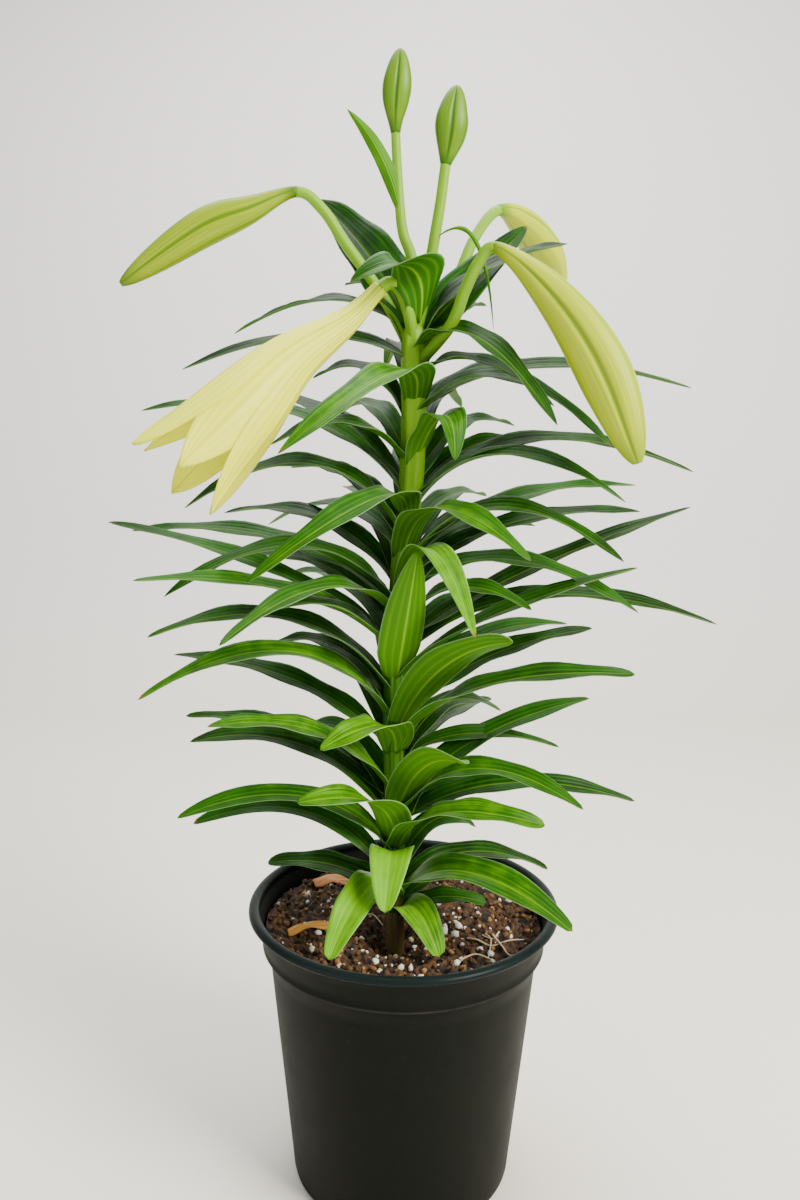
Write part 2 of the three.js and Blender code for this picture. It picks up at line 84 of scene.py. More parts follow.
LEAF_CHANNEL = 0.14
LEAF_ROOT_DEPTH = 3
LEAF_ROOT_DROP = 8
LEAF_UPTURN = 1.3
LEAF_CLASP_HALF = 4
LEAF_CLASP_GROWTH = 0.75
LEAF_LOW_FULLNESS = 0.42
LEAF_HIGH_FULLNESS = 0.62
LEAF_LOW_Z = 170
LEAF_HIGH_Z = 370
LEAF_EDGE_THINNING = 0.53333
SOIL_LEAF_FULLNESS = 0.3
SOIL_LEAF_Z = 155

# Stem: x, y, z of its middle and its radius

STEM = [
    (-4, -19, 78, 4.5),
    (-4, -19, 134, 4.5),
    (-5, -14, 165, 5.2),
    (-5, -9, 200, 5.6),
    (-6, -2, 262, 5.8),
    (-3, 0, 325, 5.8),
    (2, 0, 385, 6),
    (2, 0, 440, 6),
    (2, 0, 450, 4),
]

LEAVES = [
    (155, 305, 38, -10, 18, 18, 0, 0),
    (154, 0, 47, 4, 11, 11, 0, 0),
    (160, 30, 37, 7, 5, 8, 0, 0),
    (163, 240, 61, -9, 30, 20, 0, 0),
    (165, 330, 97, 2, 36, 20, 0, 0),
    (163, 165, 71, 7, 16, 15, 0, 0),
    (168, 25, 95, -10, 24, 14, 0, 0),
    (170, 178, 105, 27, 55, 14, 0, 0),
    (180, 265, 48, -6, 26, 22, 0, 0),
    (186, 190, 110, 22, 48, 15, 0, 0),
    (186, 335, 80, 26, 43, 18, 45, 0),
    (188, 222, 62, 37, 42, 21, -55, 0),
    (200, 182, 105, 42, 56, 16, 0, 0),
    (201, 3, 126, 8, 32, 15, 0, 0),
    (204, 337, 98, 17, 50, 15, 0, 0),
    (205, 40, 95, -7, 12, 14, 0, 0),
    (206, 302, 62, 42, 38, 20, 0, -80),
    (211, 10, 104, 50, 35, 16, 0, 0),
    (213, 160, 125, 29, 38, 14, 0, 0),
    (215, 140, 112, 16, 28, 14, 0, 0),
    (217, 200, 96, 41, 44, 15, 0, 0),
    (235, 8, 88, 0, 18, 11, 0, 0),
    (239, 168, 122, 41, 39, 14, 0, 0),
    (239, 55, 100, 4, 8, 15, 0, 0),
    (236, 347, 119, 48, 58, 18, 50, 0),
    (234, 229, 54, 15, 36, 21, -55, 0),
    (253, 197, 128, 18, 66, 16, 0, 0),
    (248, 312, 79, 58, 44, 20, 0, -80),
    (255, 15, 110, 41, 31, 15, 0, 0),
    (262, 20, 100, 35, 40, 14, 0, 0),
    (268, 195, 123, 32, 60, 15, 0, 0),
    (273, 285, 38, 70, 14, 24, 0, 0),
    (277, 345, 119, 59, 34, 15, 20, 0),
    (285, 215, 80, 30, 40, 14, 0, 0),
    (286, 355, 160, 20, 53, 15, 0, 0),
    (291, 203, 131, 39, 40, 15, 0, 0),
    (294, 182, 145, 59, 38, 14, 0, 0),
    (295, 8, 155, 67, 31, 14, 0, 0),
    (300, 160, 100, 30, 45, 14, 0, 0),
    (302, 325, 76, 15, 35, 15, 0, 0),
    (308, 228, 114, -1, 37, 15, 0, 0),
    (312, 197, 117, 8, 58, 15, 0, 0),
    (314, 170, 145, 32, 42, 15, 0, 0),
    (316, 290, 94, -4, 60, 15, 0, 0),
    (316, 345, 119, -2, 44, 15, 0, 0),
    (325, 145, 125, 28, 42, 15, 0, 0),
    (327, 12, 130, 32, 34, 15, 0, 0),
    (330, 350, 70, 30, 40, 14, 0, 0),
    (331, 337, 112, 9, 60, 15, 0, 0),
    (335, 22, 140, 37, 39, 14, 0, 0),
    (334, 318, 79, 7, 54, 19, 38, 0),
    (343, 135, 112, 3, 34, 15, 0, 0),
    (350, 188, 109, 11, 60, 16, 0, 0),
    (360, 342, 108, 7, 54, 15, 0, 0),
    (363, 25, 75, 32, 38, 15, 0, 0),
    (360, 224, 98, -28, 32, 18, -55, 0),
    (366, 355, 140, 15, 51, 15, 0, 0),
    (371, 170, 142, 38, 54, 15, 0, 0),
    (372, 150, 105, 50, 40, 16, 0, 0),
    (380, 288, 62, 6, 50, 19, -30, 0),
    (385, 207, 74, 7, 31, 14, 0, 0),
    (408, 345, 97, -15, 44, 18, 0, 0),
    (410, 35, 103, 26, 28, 14, 0, 0),
    (413, 7, 144, 10, 33, 14, 0, 0),
    (414, 234, 98, -26, 38, 20, -55, 0),
    (430, 335, 72, -19, 18, 12, 0, 0),
    (438, 170, 121, -8, 20, 14, 0, 0),
    (442, 325, 79, -40, 26, 17, 0, 0),
    (445, 217, 38, 22, 45, 28, -110, 0),
    (445, 5, 75, 46, 36, 17, 0, 0),
    (447, 20, 60, 55, 14, 22, 0, 30),
    (448, 146, 60, 69, 34, 30, 0, 20),
    (446, 122, 58, 60, 30, 22, 0, 20),
    (448, 150, 113, 4, 34, 11, 0, 0),
]

BACK_LEAVES = 25
BACK_FIRST_Z = 172
BACK_LAST_Z = 436
BACK_HEADING = 90
BACK_SPREAD = 140
GOLDEN_SHARE = 0.618034
BACK_REACH = 112
BACK_WIDTH = 13

PETAL_SPREADS = (42, 48)
PETAL_LIFTS = (0.9, 0)
PETAL_LENGTHS = (1, 0.96)
PETAL_NARROW_FROM = 0.72
TRUMPET_FULL_AT = 0.95
TRUMPET_SWELL = 1.1
TIP_FLARE_FROM = 0.78

# Flower heads: stalk and axis as x, y, z of the points they pass through, then radii, and for a
# bud where along it is widest, how steeply it swells and which bud colours it has

HEADS = {
    "open_flower": {
        "stalk": [(2, 0, 436), (0, -4, 452), (-4, -6, 464), (-9, -8, 469), (-15, -10, 466)],
        "axis": [(-15, -10, 466), (-30, -18, 450), (-56, -30, 430), (-79, -43, 404),
                 (-106, -56, 374)],
        "stalk_radius": (3, 3.2),
        "radius": 20,
    },
    "bud_left": {
        "stalk": [(2, 0, 436), (-12, 4, 462), (-32, 1, 489), (-43, -2, 504), (-55, -5, 511)],
        "axis": [(-55, -5, 511), (-77, -7, 502), (-101, -8, 492), (-139, -12, 466)],
        "stalk_radius": (3, 2.6),
        "radius": 8.6,
        "bulge": 0.62,
        "swell": 1.65,
        "skin": "left",
    },
    "bud_front_right": {
        "stalk": [(2, 0, 430), (19, -8, 449), (26, -12, 466), (32, -15, 478), (39, -18, 484)],
        "axis": [(39, -18, 484), (56, -25, 471), (76, -33, 447), (91, -40, 420), (104, -47, 384)],
        "stalk_radius": (3, 2.8),
        "radius": 12.3,
        "bulge": 0.7,
        "swell": 1.5,
        "skin": "front",
    },
    "bud_back_right": {
        "stalk": [(2, 0, 436), (15, 12, 455), (25, 19, 479), (33, 26, 498), (45, 36, 513)],
        "axis": [(45, 36, 513), (60, 58, 512), (76, 81, 501), (89, 100, 484)],
        "stalk_radius": (3, 2.7),
        "radius": 10.5,
        "bulge": 0.68,
        "swell": 1.3,
        "skin": "back",
    },
    "bud_top_left": {
        "stalk": [(2, 0, 440), (1, 0, 478), (-4, 0, 494), (-6, 0, 510), (-8, 0, 539)],
        "axis": [(-8, 0, 539), (-8, 0, 553), (-7, 0, 565), (-6, 0, 577)],
        "stalk_radius": (3, 2.3),
        "radius": 6.8,
        "bulge": 0.5,
        "swell": 1.1,
        "skin": "top",
    },
    "bud_top_right": {
        "stalk": [(2, 0, 440), (9, 0, 478), (12, 0, 496), (14, 0, 509), (16, 0, 525)],
        "axis": [(16, 0, 525), (18, 0, 537), (19, 0, 548), (21, 0, 561)],
        "stalk_radius": (3, 2.6),
        "radius": 7.8,
        "bulge": 0.52,
        "swell": 1.1,
        "skin": "top",
    },
}

# Bracts on the stalks of the upper buds: root, bend and tip as x, y, z, then width

BRACTS = [
    ((-5, -1, 501), (-11, -4, 530), (-31, -2, 549), 7.5),
    ((11, -1, 490), (34, -8, 512), (40, -10, 448), 2.2),
]

BRACT_FULLNESS = 0.65

# Loose things on the soil, as x, y of the points they pass through. The withered leaves also
# have a width and the name of their colour.

ROOTS = [
    ((33, -22), (38, -26), (45, -29), (54, -28), (62, -25)),
    ((43, -16), (45, -24), (44, -33), (42, -42)),
    ((46, -20), (50, -32), (53, -37), (57, -39)),
    ((50, -17), (46, -23), (41, -18)),
    ((28, -44), (36, -41), (44, -43)),
    ((-26, 6), (-21, 2), (-16, 3), (-11, -5)),
]
DRY_LEAVES = [
    ((-52, 38), (-42, 46), (-29, 43), 11, "withered_brown"),
    ((-60, -22), (-50, -15), (-38, -13), 6, "withered_tan"),
]


# Lines and frames along them


def along_points(points, share):
    """Point, with any further numbers, at a share of a list that the line passes through."""
    points = np.asarray(points, float)
    place = min(share, 0.999999) * (len(points) - 1)
    k = int(place)
    f = place - k
    a, b, c, d = (points[min(max(k + i, 0), len(points) - 1)] for i in (-1, 0, 1, 2))
    bend = 2 * a - 5 * b + 4 * c - d + f * (3 * (b - c) + d - a)
    return b + 0.5 * f * (c - a + f * bend)


def unit(vectors):
    vectors = np.asarray(vectors, float)
    return vectors / np.linalg.norm(vectors, axis=-1, keepdims=True)


def stations_along(points, shares):
    """Middle, across and up at each share of a line, without spinning round it."""
    step = 0.004
    across = np.array((0.0, 1.0, 0.0))
    stations = []
    for share in shares:
        ahead = along_points(points, min(1, share + step))[:3]
        behind = along_points(points, max(0, share - step))[:3]
        along = unit(ahead - behind)
        across = unit(across - along * across.dot(along))
        stations.append((along_points(points, share)[:3], across, np.cross(along, across)))
    return stations


def stem_at(height):
    stem = np.array(STEM)
    return np.array([np.interp(height, stem[:, 2], stem[:, axis]) for axis in (0, 1, 2)])


def head_line(head):
    return [*head["stalk"], *head["axis"][1:]]


def neck_share(head):
    return (len(head["stalk"]) - 1) / (len(head["stalk"]) + len(head["axis"]) - 2)


# Mesh skins


class Skin:
    """Points, faces and named numbers per point of one mesh, gathered before Blender gets them."""

    def __init__(self, *marks):
        self.points = []
        self.faces = []
        self.marks = {name: [] for name in marks}
        self.count = 0

    def add(self, points, faces, **marks):
        points = np.asarray(points, float).reshape(-1, 3)
        self.points.append(points)
        self.faces.extend(tuple(i + self.count for i in face) for face in faces)
        for name, store in self.marks.items():
            values = np.asarray(marks[name], float)
            flat = values.reshape(-1) if values.ndim else values
            store.append(np.broadcast_to(flat, len(points)))
        self.count += len(points)

    def add_rings(self, rings, **marks):
        """Closed skin over rings of equal size, given as an array of ring, point and x, y, z."""
        rings = np.asarray(rings, float)
        rows, sides = rings.shape[:2]
        faces = []
        for i in range(rows - 1):
            for j in range(sides):
                low, nxt = i * sides, (j + 1) % sides
                faces.append((low + j, low + nxt, low + sides + nxt, low + sides + j))
        faces.append(tuple(reversed(range(sides))))
        faces.append(tuple(range((rows - 1) * sides, rows * sides)))
        spread = {name: np.broadcast_to(value, (rows, sides))
                  for name, value in marks.items()}
        self.add(rings, faces, **spread)

    def build(self, name, material, replaces=(), slot=None):
        mesh = bpy.data.meshes.new(name)
        mesh.from_pydata(np.concatenate(self.points) * MM, [], self.faces)
        for mark, store in self.marks.items():
            layer = mesh.attributes.new(mark, "FLOAT", "POINT")
            layer.data.foreach_set("value", np.concatenate(store).astype(np.float32))
        mesh.polygons.foreach_set("use_smooth", [True] * len(mesh.polygons))
        mesh.validate()
        piece = bpy.data.objects.new(name, mesh)
        bpy.context.scene.collection.objects.link(piece)
        mesh.materials.append(material)
        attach(piece, "root")
        if replaces:
            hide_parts(*replaces)
        return piece


def swept_rings(points, shares, sides, radius_at):
    """Rings round a line, with the radius given for the share and the angles."""
    angles = np.linspace(0, 2 * math.pi, sides, endpoint=False)
    rings = []
    for share, (middle, across, up) in zip(shares, stations_along(points, shares)):
        radius = np.broadcast_to(radius_at(share, angles), angles.shape)
        rings.append(middle + np.outer(np.cos(angles) * radius, across)
                     + np.outer(np.sin(angles) * radius, up))
    return np.array(rings), angles


def turned_rings(outline, sides):
    """Rings for a turned body from radius and height pairs."""
    angles = np.linspace(0, 2 * math.pi, sides, endpoint=False)
    return np.array([
        np.stack([radius * np.cos(angles), radius * np.sin(angles), np.full(sides, height)], 1)
        for radius, height in outline
    ])


# Shader maths


class Value:
    """One number in a material's node tree, so that shader maths reads as arithmetic."""

    def __init__(self, shader, socket):
        self.shader = shader
        self.socket = socket

    def math(self, operation, *others):
        node = self.shader.node("ShaderNodeMath", {"operation": operation})
        for slot, item in zip(node.inputs, (self, *others)):
            self.shader.feed(slot, item)
        return Value(self.shader, node.outputs[0])

    def reflected(self, operation, other):
        node = self.shader.node("ShaderNodeMath", {"operation": operation})
        self.shader.feed(node.inputs[0], other)
        self.shader.feed(node.inputs[1], self)
        return Value(self.shader, node.outputs[0])

    def __add__(self, other):
        return self.math("ADD", other)

    def __radd__(self, other):
        return self.reflected("ADD", other)

    def __sub__(self, other):
        return self.math("SUBTRACT", other)

    def __rsub__(self, other):
        return self.reflected("SUBTRACT", other)

    def __mul__(self, other):
        return self.math("MULTIPLY", other)

    def __rmul__(self, other):
        return self.reflected("MULTIPLY", other)

    def __truediv__(self, other):
        return self.math("DIVIDE", other)

    def __rtruediv__(self, other):
        return self.reflected("DIVIDE", other)

    def __pow__(self, other):
        return self.math("POWER", other)

    def __neg__(self):
        return self.math("MULTIPLY", -1.0)

    def __abs__(self):
        return self.math("ABSOLUTE")

    def cosine(self):
        return self.math("COSINE")

    def clamped(self):
        return self.math("MAXIMUM", 0.0).math("MINIMUM", 1.0)

    def rise(self, start, end):
        """Zero below start, one above end, smooth between."""
        node = self.shader.node(
            "ShaderNodeMapRange",
            {"interpolation_type": "SMOOTHSTEP"},
            {"Value": self, "From Min": start, "From Max": end},
        )
        return Value(self.shader, node.outputs[0])

    def peak(self, centre, width):
        """One at the centre, falling to nothing about a width away."""
        offset = (self - centre) / width
        return 1.0 / (1.0 + offset * offset * 4.0 + offset ** 4.0 * 12.0)


class Shader:
    """A material with one Principled surface, and the nodes that feed it."""

    def __init__(self, name, **fixed):
        self.material = bpy.data.materials.new(name)
        self.material.use_nodes = True
        self.tree = self.material.node_tree
        self.tree.nodes.clear()
        inputs = {key.replace("_", " ").title().replace("Ior", "IOR"): value
                  for key, value in fixed.items()}
        self.surface = self.node("ShaderNodeBsdfPrincipled", inputs=inputs)
        output = self.node("ShaderNodeOutputMaterial")
        self.tree.links.new(self.surface.outputs[0], output.inputs["Surface"])
        self.place = self.node("ShaderNodeTexCoord").outputs["Object"]

    def node(self, kind, settings=None, inputs=None):
        node = self.tree.nodes.new(kind)
        for key, value in (settings or {}).items():
            setattr(node, key, value)
        for key, value in (inputs or {}).items():
            self.feed(node.inputs[key], value)
        return node

    def feed(self, socket, value):
        if isinstance(value, Value):
            value = value.socket
        if isinstance(value, bpy.types.NodeSocket):
            self.tree.links.new(value, socket)
        elif socket.type == "RGBA" and len(value) == 3:
            socket.default_value = (*value, 1)
        else:
            socket.default_value = value

    def mark(self, name):
        node = self.node("ShaderNodeAttribute", {"attribute_name": name})
        return Value(self, node.outputs["Fac"])

    def noise(self, size_mm, detail=3):
        scaled = self.node(
            "ShaderNodeVectorMath",
            {"operation": "MULTIPLY"},
            {0: self.place, 1: (1 / (size_mm * MM),) * 3},
        )
        node = self.node("ShaderNodeTexNoise", inputs={
            "Vector": scaled.outputs[0], "Scale": 1.0, "Detail": detail,
        })
        return Value(self, node.outputs["Fac"])

    def noise_over(self, x, y, z, detail=3):
        vector = self.node("ShaderNodeCombineXYZ", inputs={"X": x, "Y": y, "Z": z})
        node = self.node("ShaderNodeTexNoise", inputs={
            "Vector": vector.outputs[0], "Scale": 1.0, "Detail": detail,
        })
        return Value(self, node.outputs["Fac"])

    def mix(self, factor, first, second):
        node = self.node("ShaderNodeMix", {"data_type": "RGBA"})
        self.feed(node.inputs["Factor"], factor)
        self.feed(node.inputs[6], first)
        self.feed(node.inputs[7], second)
        return node.outputs[2]

    def paint(self, colour=None, roughness=None, height=None, depth_mm=0.2):
        if colour is not None:
            self.feed(self.surface.inputs["Base Color"], colour)
        if roughness is not None:
            self.feed(self.surface.inputs["Roughness"], roughness)
        if height is not None:
            bump = self.node("ShaderNodeBump", inputs={
                "Strength": 1.0, "Distance": depth_mm * MM, "Height": height,
            })
            self.feed(self.surface.inputs["Normal"], bump.outputs[0])
        return self.material


# Materials


def leaf_material(colours):
    """Glossy lily leaf: lengthwise veins, a paler rib, a thin pale rim that is a painted highlight,
    a duller underside, and painted light and shade from leaf to leaf.
    """
    shader = Shader("lily_leaf", subsurface_weight=0.08, subsurface_scale=0.002,
                    subsurface_radius=(0.3, 1.0, 0.1), specular_ior_level=0.14)
    across, along = shader.mark("across"), shader.mark("along")
    upper, shade, tone = shader.mark("upper"), shader.mark("shade"), shader.mark("tone")
    mottle = shader.noise(9, 4)
    fine = shader.noise_over(across * 9.0, along * 3.0, shade * 40.0, 4)
    veins = ((across * 18.0).cosine() * 0.5 + 0.5) ** 3.0
    rib = across.peak(0.0, 0.11)
    # Painted highlight: a thin pale line along both edges of the leaf, stronger on the lighter
    # leaves.
    rim_highlight = abs(across).rise(0.93, 1.0)
    # Painted light and shade: leaves in front, low down and near the stem are painted lighter, the
    # others darker; the noise adds the leaves' own mottle.
    light = (tone + (mottle - 0.5) * 0.5 + (shade - 0.5) * 0.3 + (fine - 0.5) * 0.7).clamped()
    body = shader.mix(light.rise(0.0, 0.5), colours.leaf_dark, colours.leaf_mid)
    body = shader.mix(light.rise(0.45, 1.0), body, colours.leaf_lit)
    # Veins and rib are painted paler on the lighter leaves, following the painted light.
    body = shader.mix(veins * (0.01 + tone * 0.16), body, colours.leaf_vein)
    body = shader.mix(rib * (0.12 + tone * 0.4), body, colours.leaf_vein)
    under = shader.mix(veins * 0.18 + rib * 0.5, colours.leaf_under, colours.leaf_vein)
    # The underside is also painted lighter on the same leaves, as painted light.
    under = shader.mix(tone.rise(0.3, 1.1) * 0.45, under, colours.leaf_lit)
    body = shader.mix(upper, under, body)
    body = shader.mix(rim_highlight * (0.08 + tone * 0.3), body, colours.leaf_rim_highlight)
    tip = along.rise(0.975, 1.0) * shade.rise(0.7, 0.8)
    body = shader.mix(tip, body, colours.leaf_dry)
    roughness = 0.4 + (1.0 - upper) * 0.15 + (fine - 0.5) * 0.12
    height = veins * 0.4 + fine * 0.4 + rib * 0.3
    return shader.paint(body, roughness, height, 0.2)


def stem_material(colours):
    """Stem and stalks: ridged green, brown where it leaves the soil, light near the flowers."""
    shader = Shader("lily_stem", subsurface_weight=0.1, subsurface_scale=0.002,
                    subsurface_radius=(0.3, 1.0, 0.1), specular_ior_level=0.25)
    level, around = shader.mark("level"), shader.mark("around")
    streak = shader.noise_over(around * 5.0, level * 6.0, 0.0, 4)
    body = shader.mix(level.rise(0.4, 1.05), colours.stem_green, colours.stem_light)
    body = shader.mix((streak - 0.35).clamped() * 1.2, body, colours.stem_light)
    body = shader.mix(level.rise(0.06, 0.16), colours.stem_foot, body)
    return shader.paint(body, 0.38 + streak * 0.15, streak, 0.3)


def bud_material(name, ground, seam, tip):
    """Bud skin: pale between the seams, greener along them and at the tip."""
    shader = Shader(name, subsurface_weight=0.06, subsurface_scale=0.003,
                    subsurface_radius=(0.8, 1.0, 0.2), specular_ior_level=0.25)
    groove, along, around = shader.mark("groove"), shader.mark("along"), shader.mark("around")
    streak = shader.noise_over(around * 7.0, along * 2.0, 0.0, 4)
    body = shader.mix((streak - 0.38).clamped() * 1.5, ground, seam)
    body = shader.mix(groove * 0.9, body, seam)
    body = shader.mix(along.rise(0.86, 1.0) * 0.8, body, tip)
    body = shader.mix(along.rise(0.0, 0.16), tip, body)
    return shader.paint(body, 0.4 + streak * 0.1, streak, 0.1)


def petal_material(colours):
    """Cream petals with golden ribs and edges, greener towards the neck."""
    shader = Shader("lily_petal", subsurface_weight=0.25, subsurface_scale=0.004,
                    subsurface_radius=(1.0, 0.9, 0.4), specular_ior_level=0.3)
    across, along, shade = shader.mark("across"), shader.mark("along"), shader.mark("shade")
    streak = shader.noise_over(across * 8.0, along * 2.5, shade * 20.0, 4)
    veins = ((across * 24.0).cosine() * 0.5 + 0.5) ** 2.0
    body = shader.mix(veins * 0.12 + (streak - 0.4).clamped() * 0.4,
                      colours.petal_cream, colours.petal_gold)
    body = shader.mix(across.peak(0.0, 0.12) * 0.55, body, colours.petal_gold)
    body = shader.mix(abs(across).rise(0.86, 1.0) * 0.3, body, colours.petal_gold)
    body = shader.mix(along.rise(0.0, 0.35) * 0.8 + 0.2, colours.petal_green, body)
    body = shader.mix(along.rise(0.9, 1.0) * 0.4, body, colours.petal_green)
    return shader.paint(body, 0.42 + streak * 0.1, veins * 0.5 + streak * 0.6, 0.3)


def pot_material(colours):
    """Black moulded plastic: fine grain, dusty specks, a shinier lip with a painted highlight
    colour, and a painted highlight along the collar's lower edge.
    """
    shader = Shader("pot_plastic", specular_ior_level=0.06)
    lip, edge = shader.mark("lip"), shader.mark("edge")
    grain = shader.noise(0.5, 2)
    dust = shader.noise(14, 4)
    specks = shader.noise(1.6, 2).rise(0.68, 0.78)
    body = shader.mix(dust * 0.5, colours.pot_black, colours.pot_dusty)
    body = shader.mix(specks * 0.12, body, colours.pot_speck)
    # Painted highlight: the lip is painted a lighter, bluish colour, besides being less rough.
    body = shader.mix(lip, body, colours.pot_lip_highlight)
    # Painted highlight: a thin light line along the collar's lower edge, patchy with the dust.
    body = shader.mix(edge * dust * 0.6, body, colours.pot_edge_highlight)
    roughness = 0.46 + dust * 0.12 - lip * 0.2
    return shader.paint(body, roughness, grain * (1.0 - lip * 0.8), 0.06)


def soil_material(colours):
    """Damp peat: painted shade dark between the crumbs, brown and tan on them."""
    shader = Shader("potting_soil")
    tall = shader.mark("tall")
    patches = shader.noise(7, 5)
    crumbs = shader.noise(1.7, 5)
    fleck = shader.noise(0.9, 2).rise(0.62, 0.7)
    # Painted shade: the gaps between the clods are painted dark and the tops lighter brown; the tan
    # flecks show only on the tops.
    body = shader.mix((tall + (patches - 0.5) * 0.9).rise(0.25, 0.9),
                      colours.soil_dark_and_shade, colours.soil_brown)
    body = shader.mix(fleck * tall * 0.8, body, colours.soil_tan)
    return shader.paint(body, 0.72 + crumbs * 0.2, crumbs + fleck * 0.5, 1.2)


def crumb_material(colours):
    """Loose crumbs of peat and bark, each in its own brown."""
    shader = Shader("peat_crumbs")
    shade = shader.mark("shade")
    grain = shader.noise(0.8, 4)
    body = shader.mix(shade.rise(0.2, 0.9), colours.soil_dark_and_shade, colours.soil_brown)
    body = shader.mix(shade.rise(0.8, 1.0), body, colours.soil_tan)
    body = shader.mix((grain - 0.4).clamped(), body, colours.soil_tan)
    return shader.paint(body, 0.7 + grain * 0.2, grain, 0.5)


def perlite_material(colours):
    """White expanded grains, slightly stained."""
    shader = Shader("perlite", subsurface_weight=0.2, subsurface_scale=0.001)
    shade = shader.mark("shade")
    grain = shader.noise(0.7, 4)
    body = shader.mix(shade.rise(0.45, 1.0) * 0.7, colours.perlite_white, colours.perlite_stain)
    body = shader.mix((grain - 0.5).clamped() * 1.2, body, colours.perlite_shadow)
    return shader.paint(body, 0.75 + grain * 0.15, grain, 0.4)


def root_material(colours):
    """Dry pale roots."""
    shader = Shader("dry_roots")
    grain = shader.noise(1.2, 3)
    body = shader.mix(grain * 0.6, colours.root_pale, colours.root_brown)
    return shader.paint(body, 0.6 + grain * 0.1)


def dry_leaf_material(colour):
    """Withered leaf: papery, streaked lengthwise."""
    shader = Shader("withered_leaf")
    across, along = shader.mark("across"), shader.mark("along")
    streak = shader.noise_over(across * 7.0, along * 2.0, 0.0, 4)
    light = tuple(min(1, channel * 1.9) for channel in colour)
    body = shader.mix(streak.rise(0.3, 0.7), colour, light)
    return shader.paint(body, 0.6 + streak * 0.15, streak, 0.8)


def floor_material(settings):
    """Plain pale backdrop, warmer on the floor than on the wall."""
    shader = Shader("backdrop", roughness=0.7)
    upright = shader.mark("upright")
    cloud = shader.noise(260, 2)
    body = shader.mix(upright, settings.floor_colour, settings.wall_colour)
    body = shader.mix(cloud * 0.1, body, settings.cloud_colour)
    return shader.paint(body)


# Pot


def pot_wall_radius(z):
    share = min(1, z / STEP_Z)
    return BASE_RADIUS + (COLLAR_LOW_RADIUS - COLLAR_STEP - BASE_RADIUS) * share


def pot_outline(lip_width):
    """Closed outline from the middle of the underside, up the outside and down the inside."""
    corner = [(BASE_RADIUS - 2 + 2 * math.sin(a), 2 - 2 * math.cos(a))
              for a in np.linspace(0, math.pi / 2, 6)]
    wall = [(pot_wall_radius(z), z) for z in np.linspace(3, STEP_Z - STEP_DROP, 14)]
    collar = [
        (COLLAR_LOW_RADIUS - 0.2, STEP_Z - 0.5),
        (COLLAR_LOW_RADIUS + 0.3, STEP_Z - 0.1),
        (COLLAR_LOW_RADIUS + 0.3, STEP_Z + 0.5),
        (COLLAR_LOW_RADIUS, STEP_Z + 0.9),
        (COLLAR_LOW_RADIUS + 1, STEP_Z + 6),
        (COLLAR_TOP_RADIUS - 1, LIP_LOW - 6),
        (COLLAR_TOP_RADIUS, LIP_LOW - 2),
        (COLLAR_TOP_RADIUS + 1, LIP_LOW - 0.4),
        (RIM_RADIUS - 1.2, LIP_LOW),
    ]
    middle = RIM_RADIUS - lip_width / 2
    lip = [(middle + lip_width / 2 * math.cos(a), LIP_LOW + LIP_HEIGHT * (0.3 + 0.7 * math.sin(a)))
           for a in np.linspace(0, math.pi, 14)]
    inside = [
        (COLLAR_TOP_RADIUS - WALL + 1.6, LIP_LOW - 0.6),
        (COLLAR_TOP_RADIUS - WALL, LIP_LOW - 1.4),
        (COLLAR_TOP_RADIUS - WALL - 0.5, LIP_LOW - 4.6),
        (COLLAR_TOP_RADIUS - WALL - 1.3, LIP_LOW - 5.2),
        (COLLAR_TOP_RADIUS - WALL - 1.5, LIP_LOW - 9),
        (COLLAR_LOW_RADIUS - WALL, STEP_Z + WALL),
        (COLLAR_LOW_RADIUS - COLLAR_STEP - WALL, STEP_Z + WALL - STEP_DROP),
        (BASE_RADIUS - WALL, WALL),
        (20, WALL),
    ]
    return [(20, 0), *corner, *wall, *collar, *lip, *inside]


def make_pot(settings):
    skin = Skin("lip", "edge")
    outline = pot_outline(settings.lip_width / MM)
    rings = turned_rings(outline, settings.pot_sides)
    on_lip = np.array([[float(z > LIP_LOW - 0.5 and r > COLLAR_TOP_RADIUS - 1)]
                       for r, z in outline])
    on_edge = np.array([[float(abs(z - STEP_Z - 0.2) < 0.5 and r > COLLAR_LOW_RADIUS)]
                        for r, z in outline])
    skin.add_rings(rings, lip=on_lip, edge=on_edge)
    pot = skin.build("pot_shell", pot_material(settings.colours), ["pot"], "pot")
    cut_drain_holes(pot, settings)
    return pot


def cut_drain_holes(pot, settings):
    """Open round holes through the pot's floor."""
    skin = Skin()
    radius = settings.drain_hole_radius / MM
    for i in range(DRAIN_HOLES):
        angle = 2 * math.pi * i / DRAIN_HOLES
        x, y = (DRAIN_RING_RADIUS * f(angle) for f in (math.cos, math.sin))
        rings = turned_rings([(radius, -1), (radius, WALL + 1)], 24)
        skin.add_rings(rings + np.array([x, y, 0]))
    mesh = bpy.data.meshes.new("drain_cutter")
    mesh.from_pydata(np.concatenate(skin.points) * MM, [], skin.faces)
    cutter = bpy.data.objects.new("drain_cutter", mesh)
    bpy.context.scene.collection.objects.link(cutter)
    cut = pot.modifiers.new("drain", "BOOLEAN")
    cut.operation = "DIFFERENCE"
    cut.solver = "EXACT"
    cut.object = cutter
    apply_modifiers(pot)
    bpy.data.objects.remove(cutter)


def apply_modifiers(piece):
    graph = bpy.context.evaluated_depsgraph_get()
    shaped = bpy.data.meshes.new_from_object(piece.evaluated_get(graph))
    piece.modifiers.clear()
    piece.data = shaped


# Soil and what lies on it


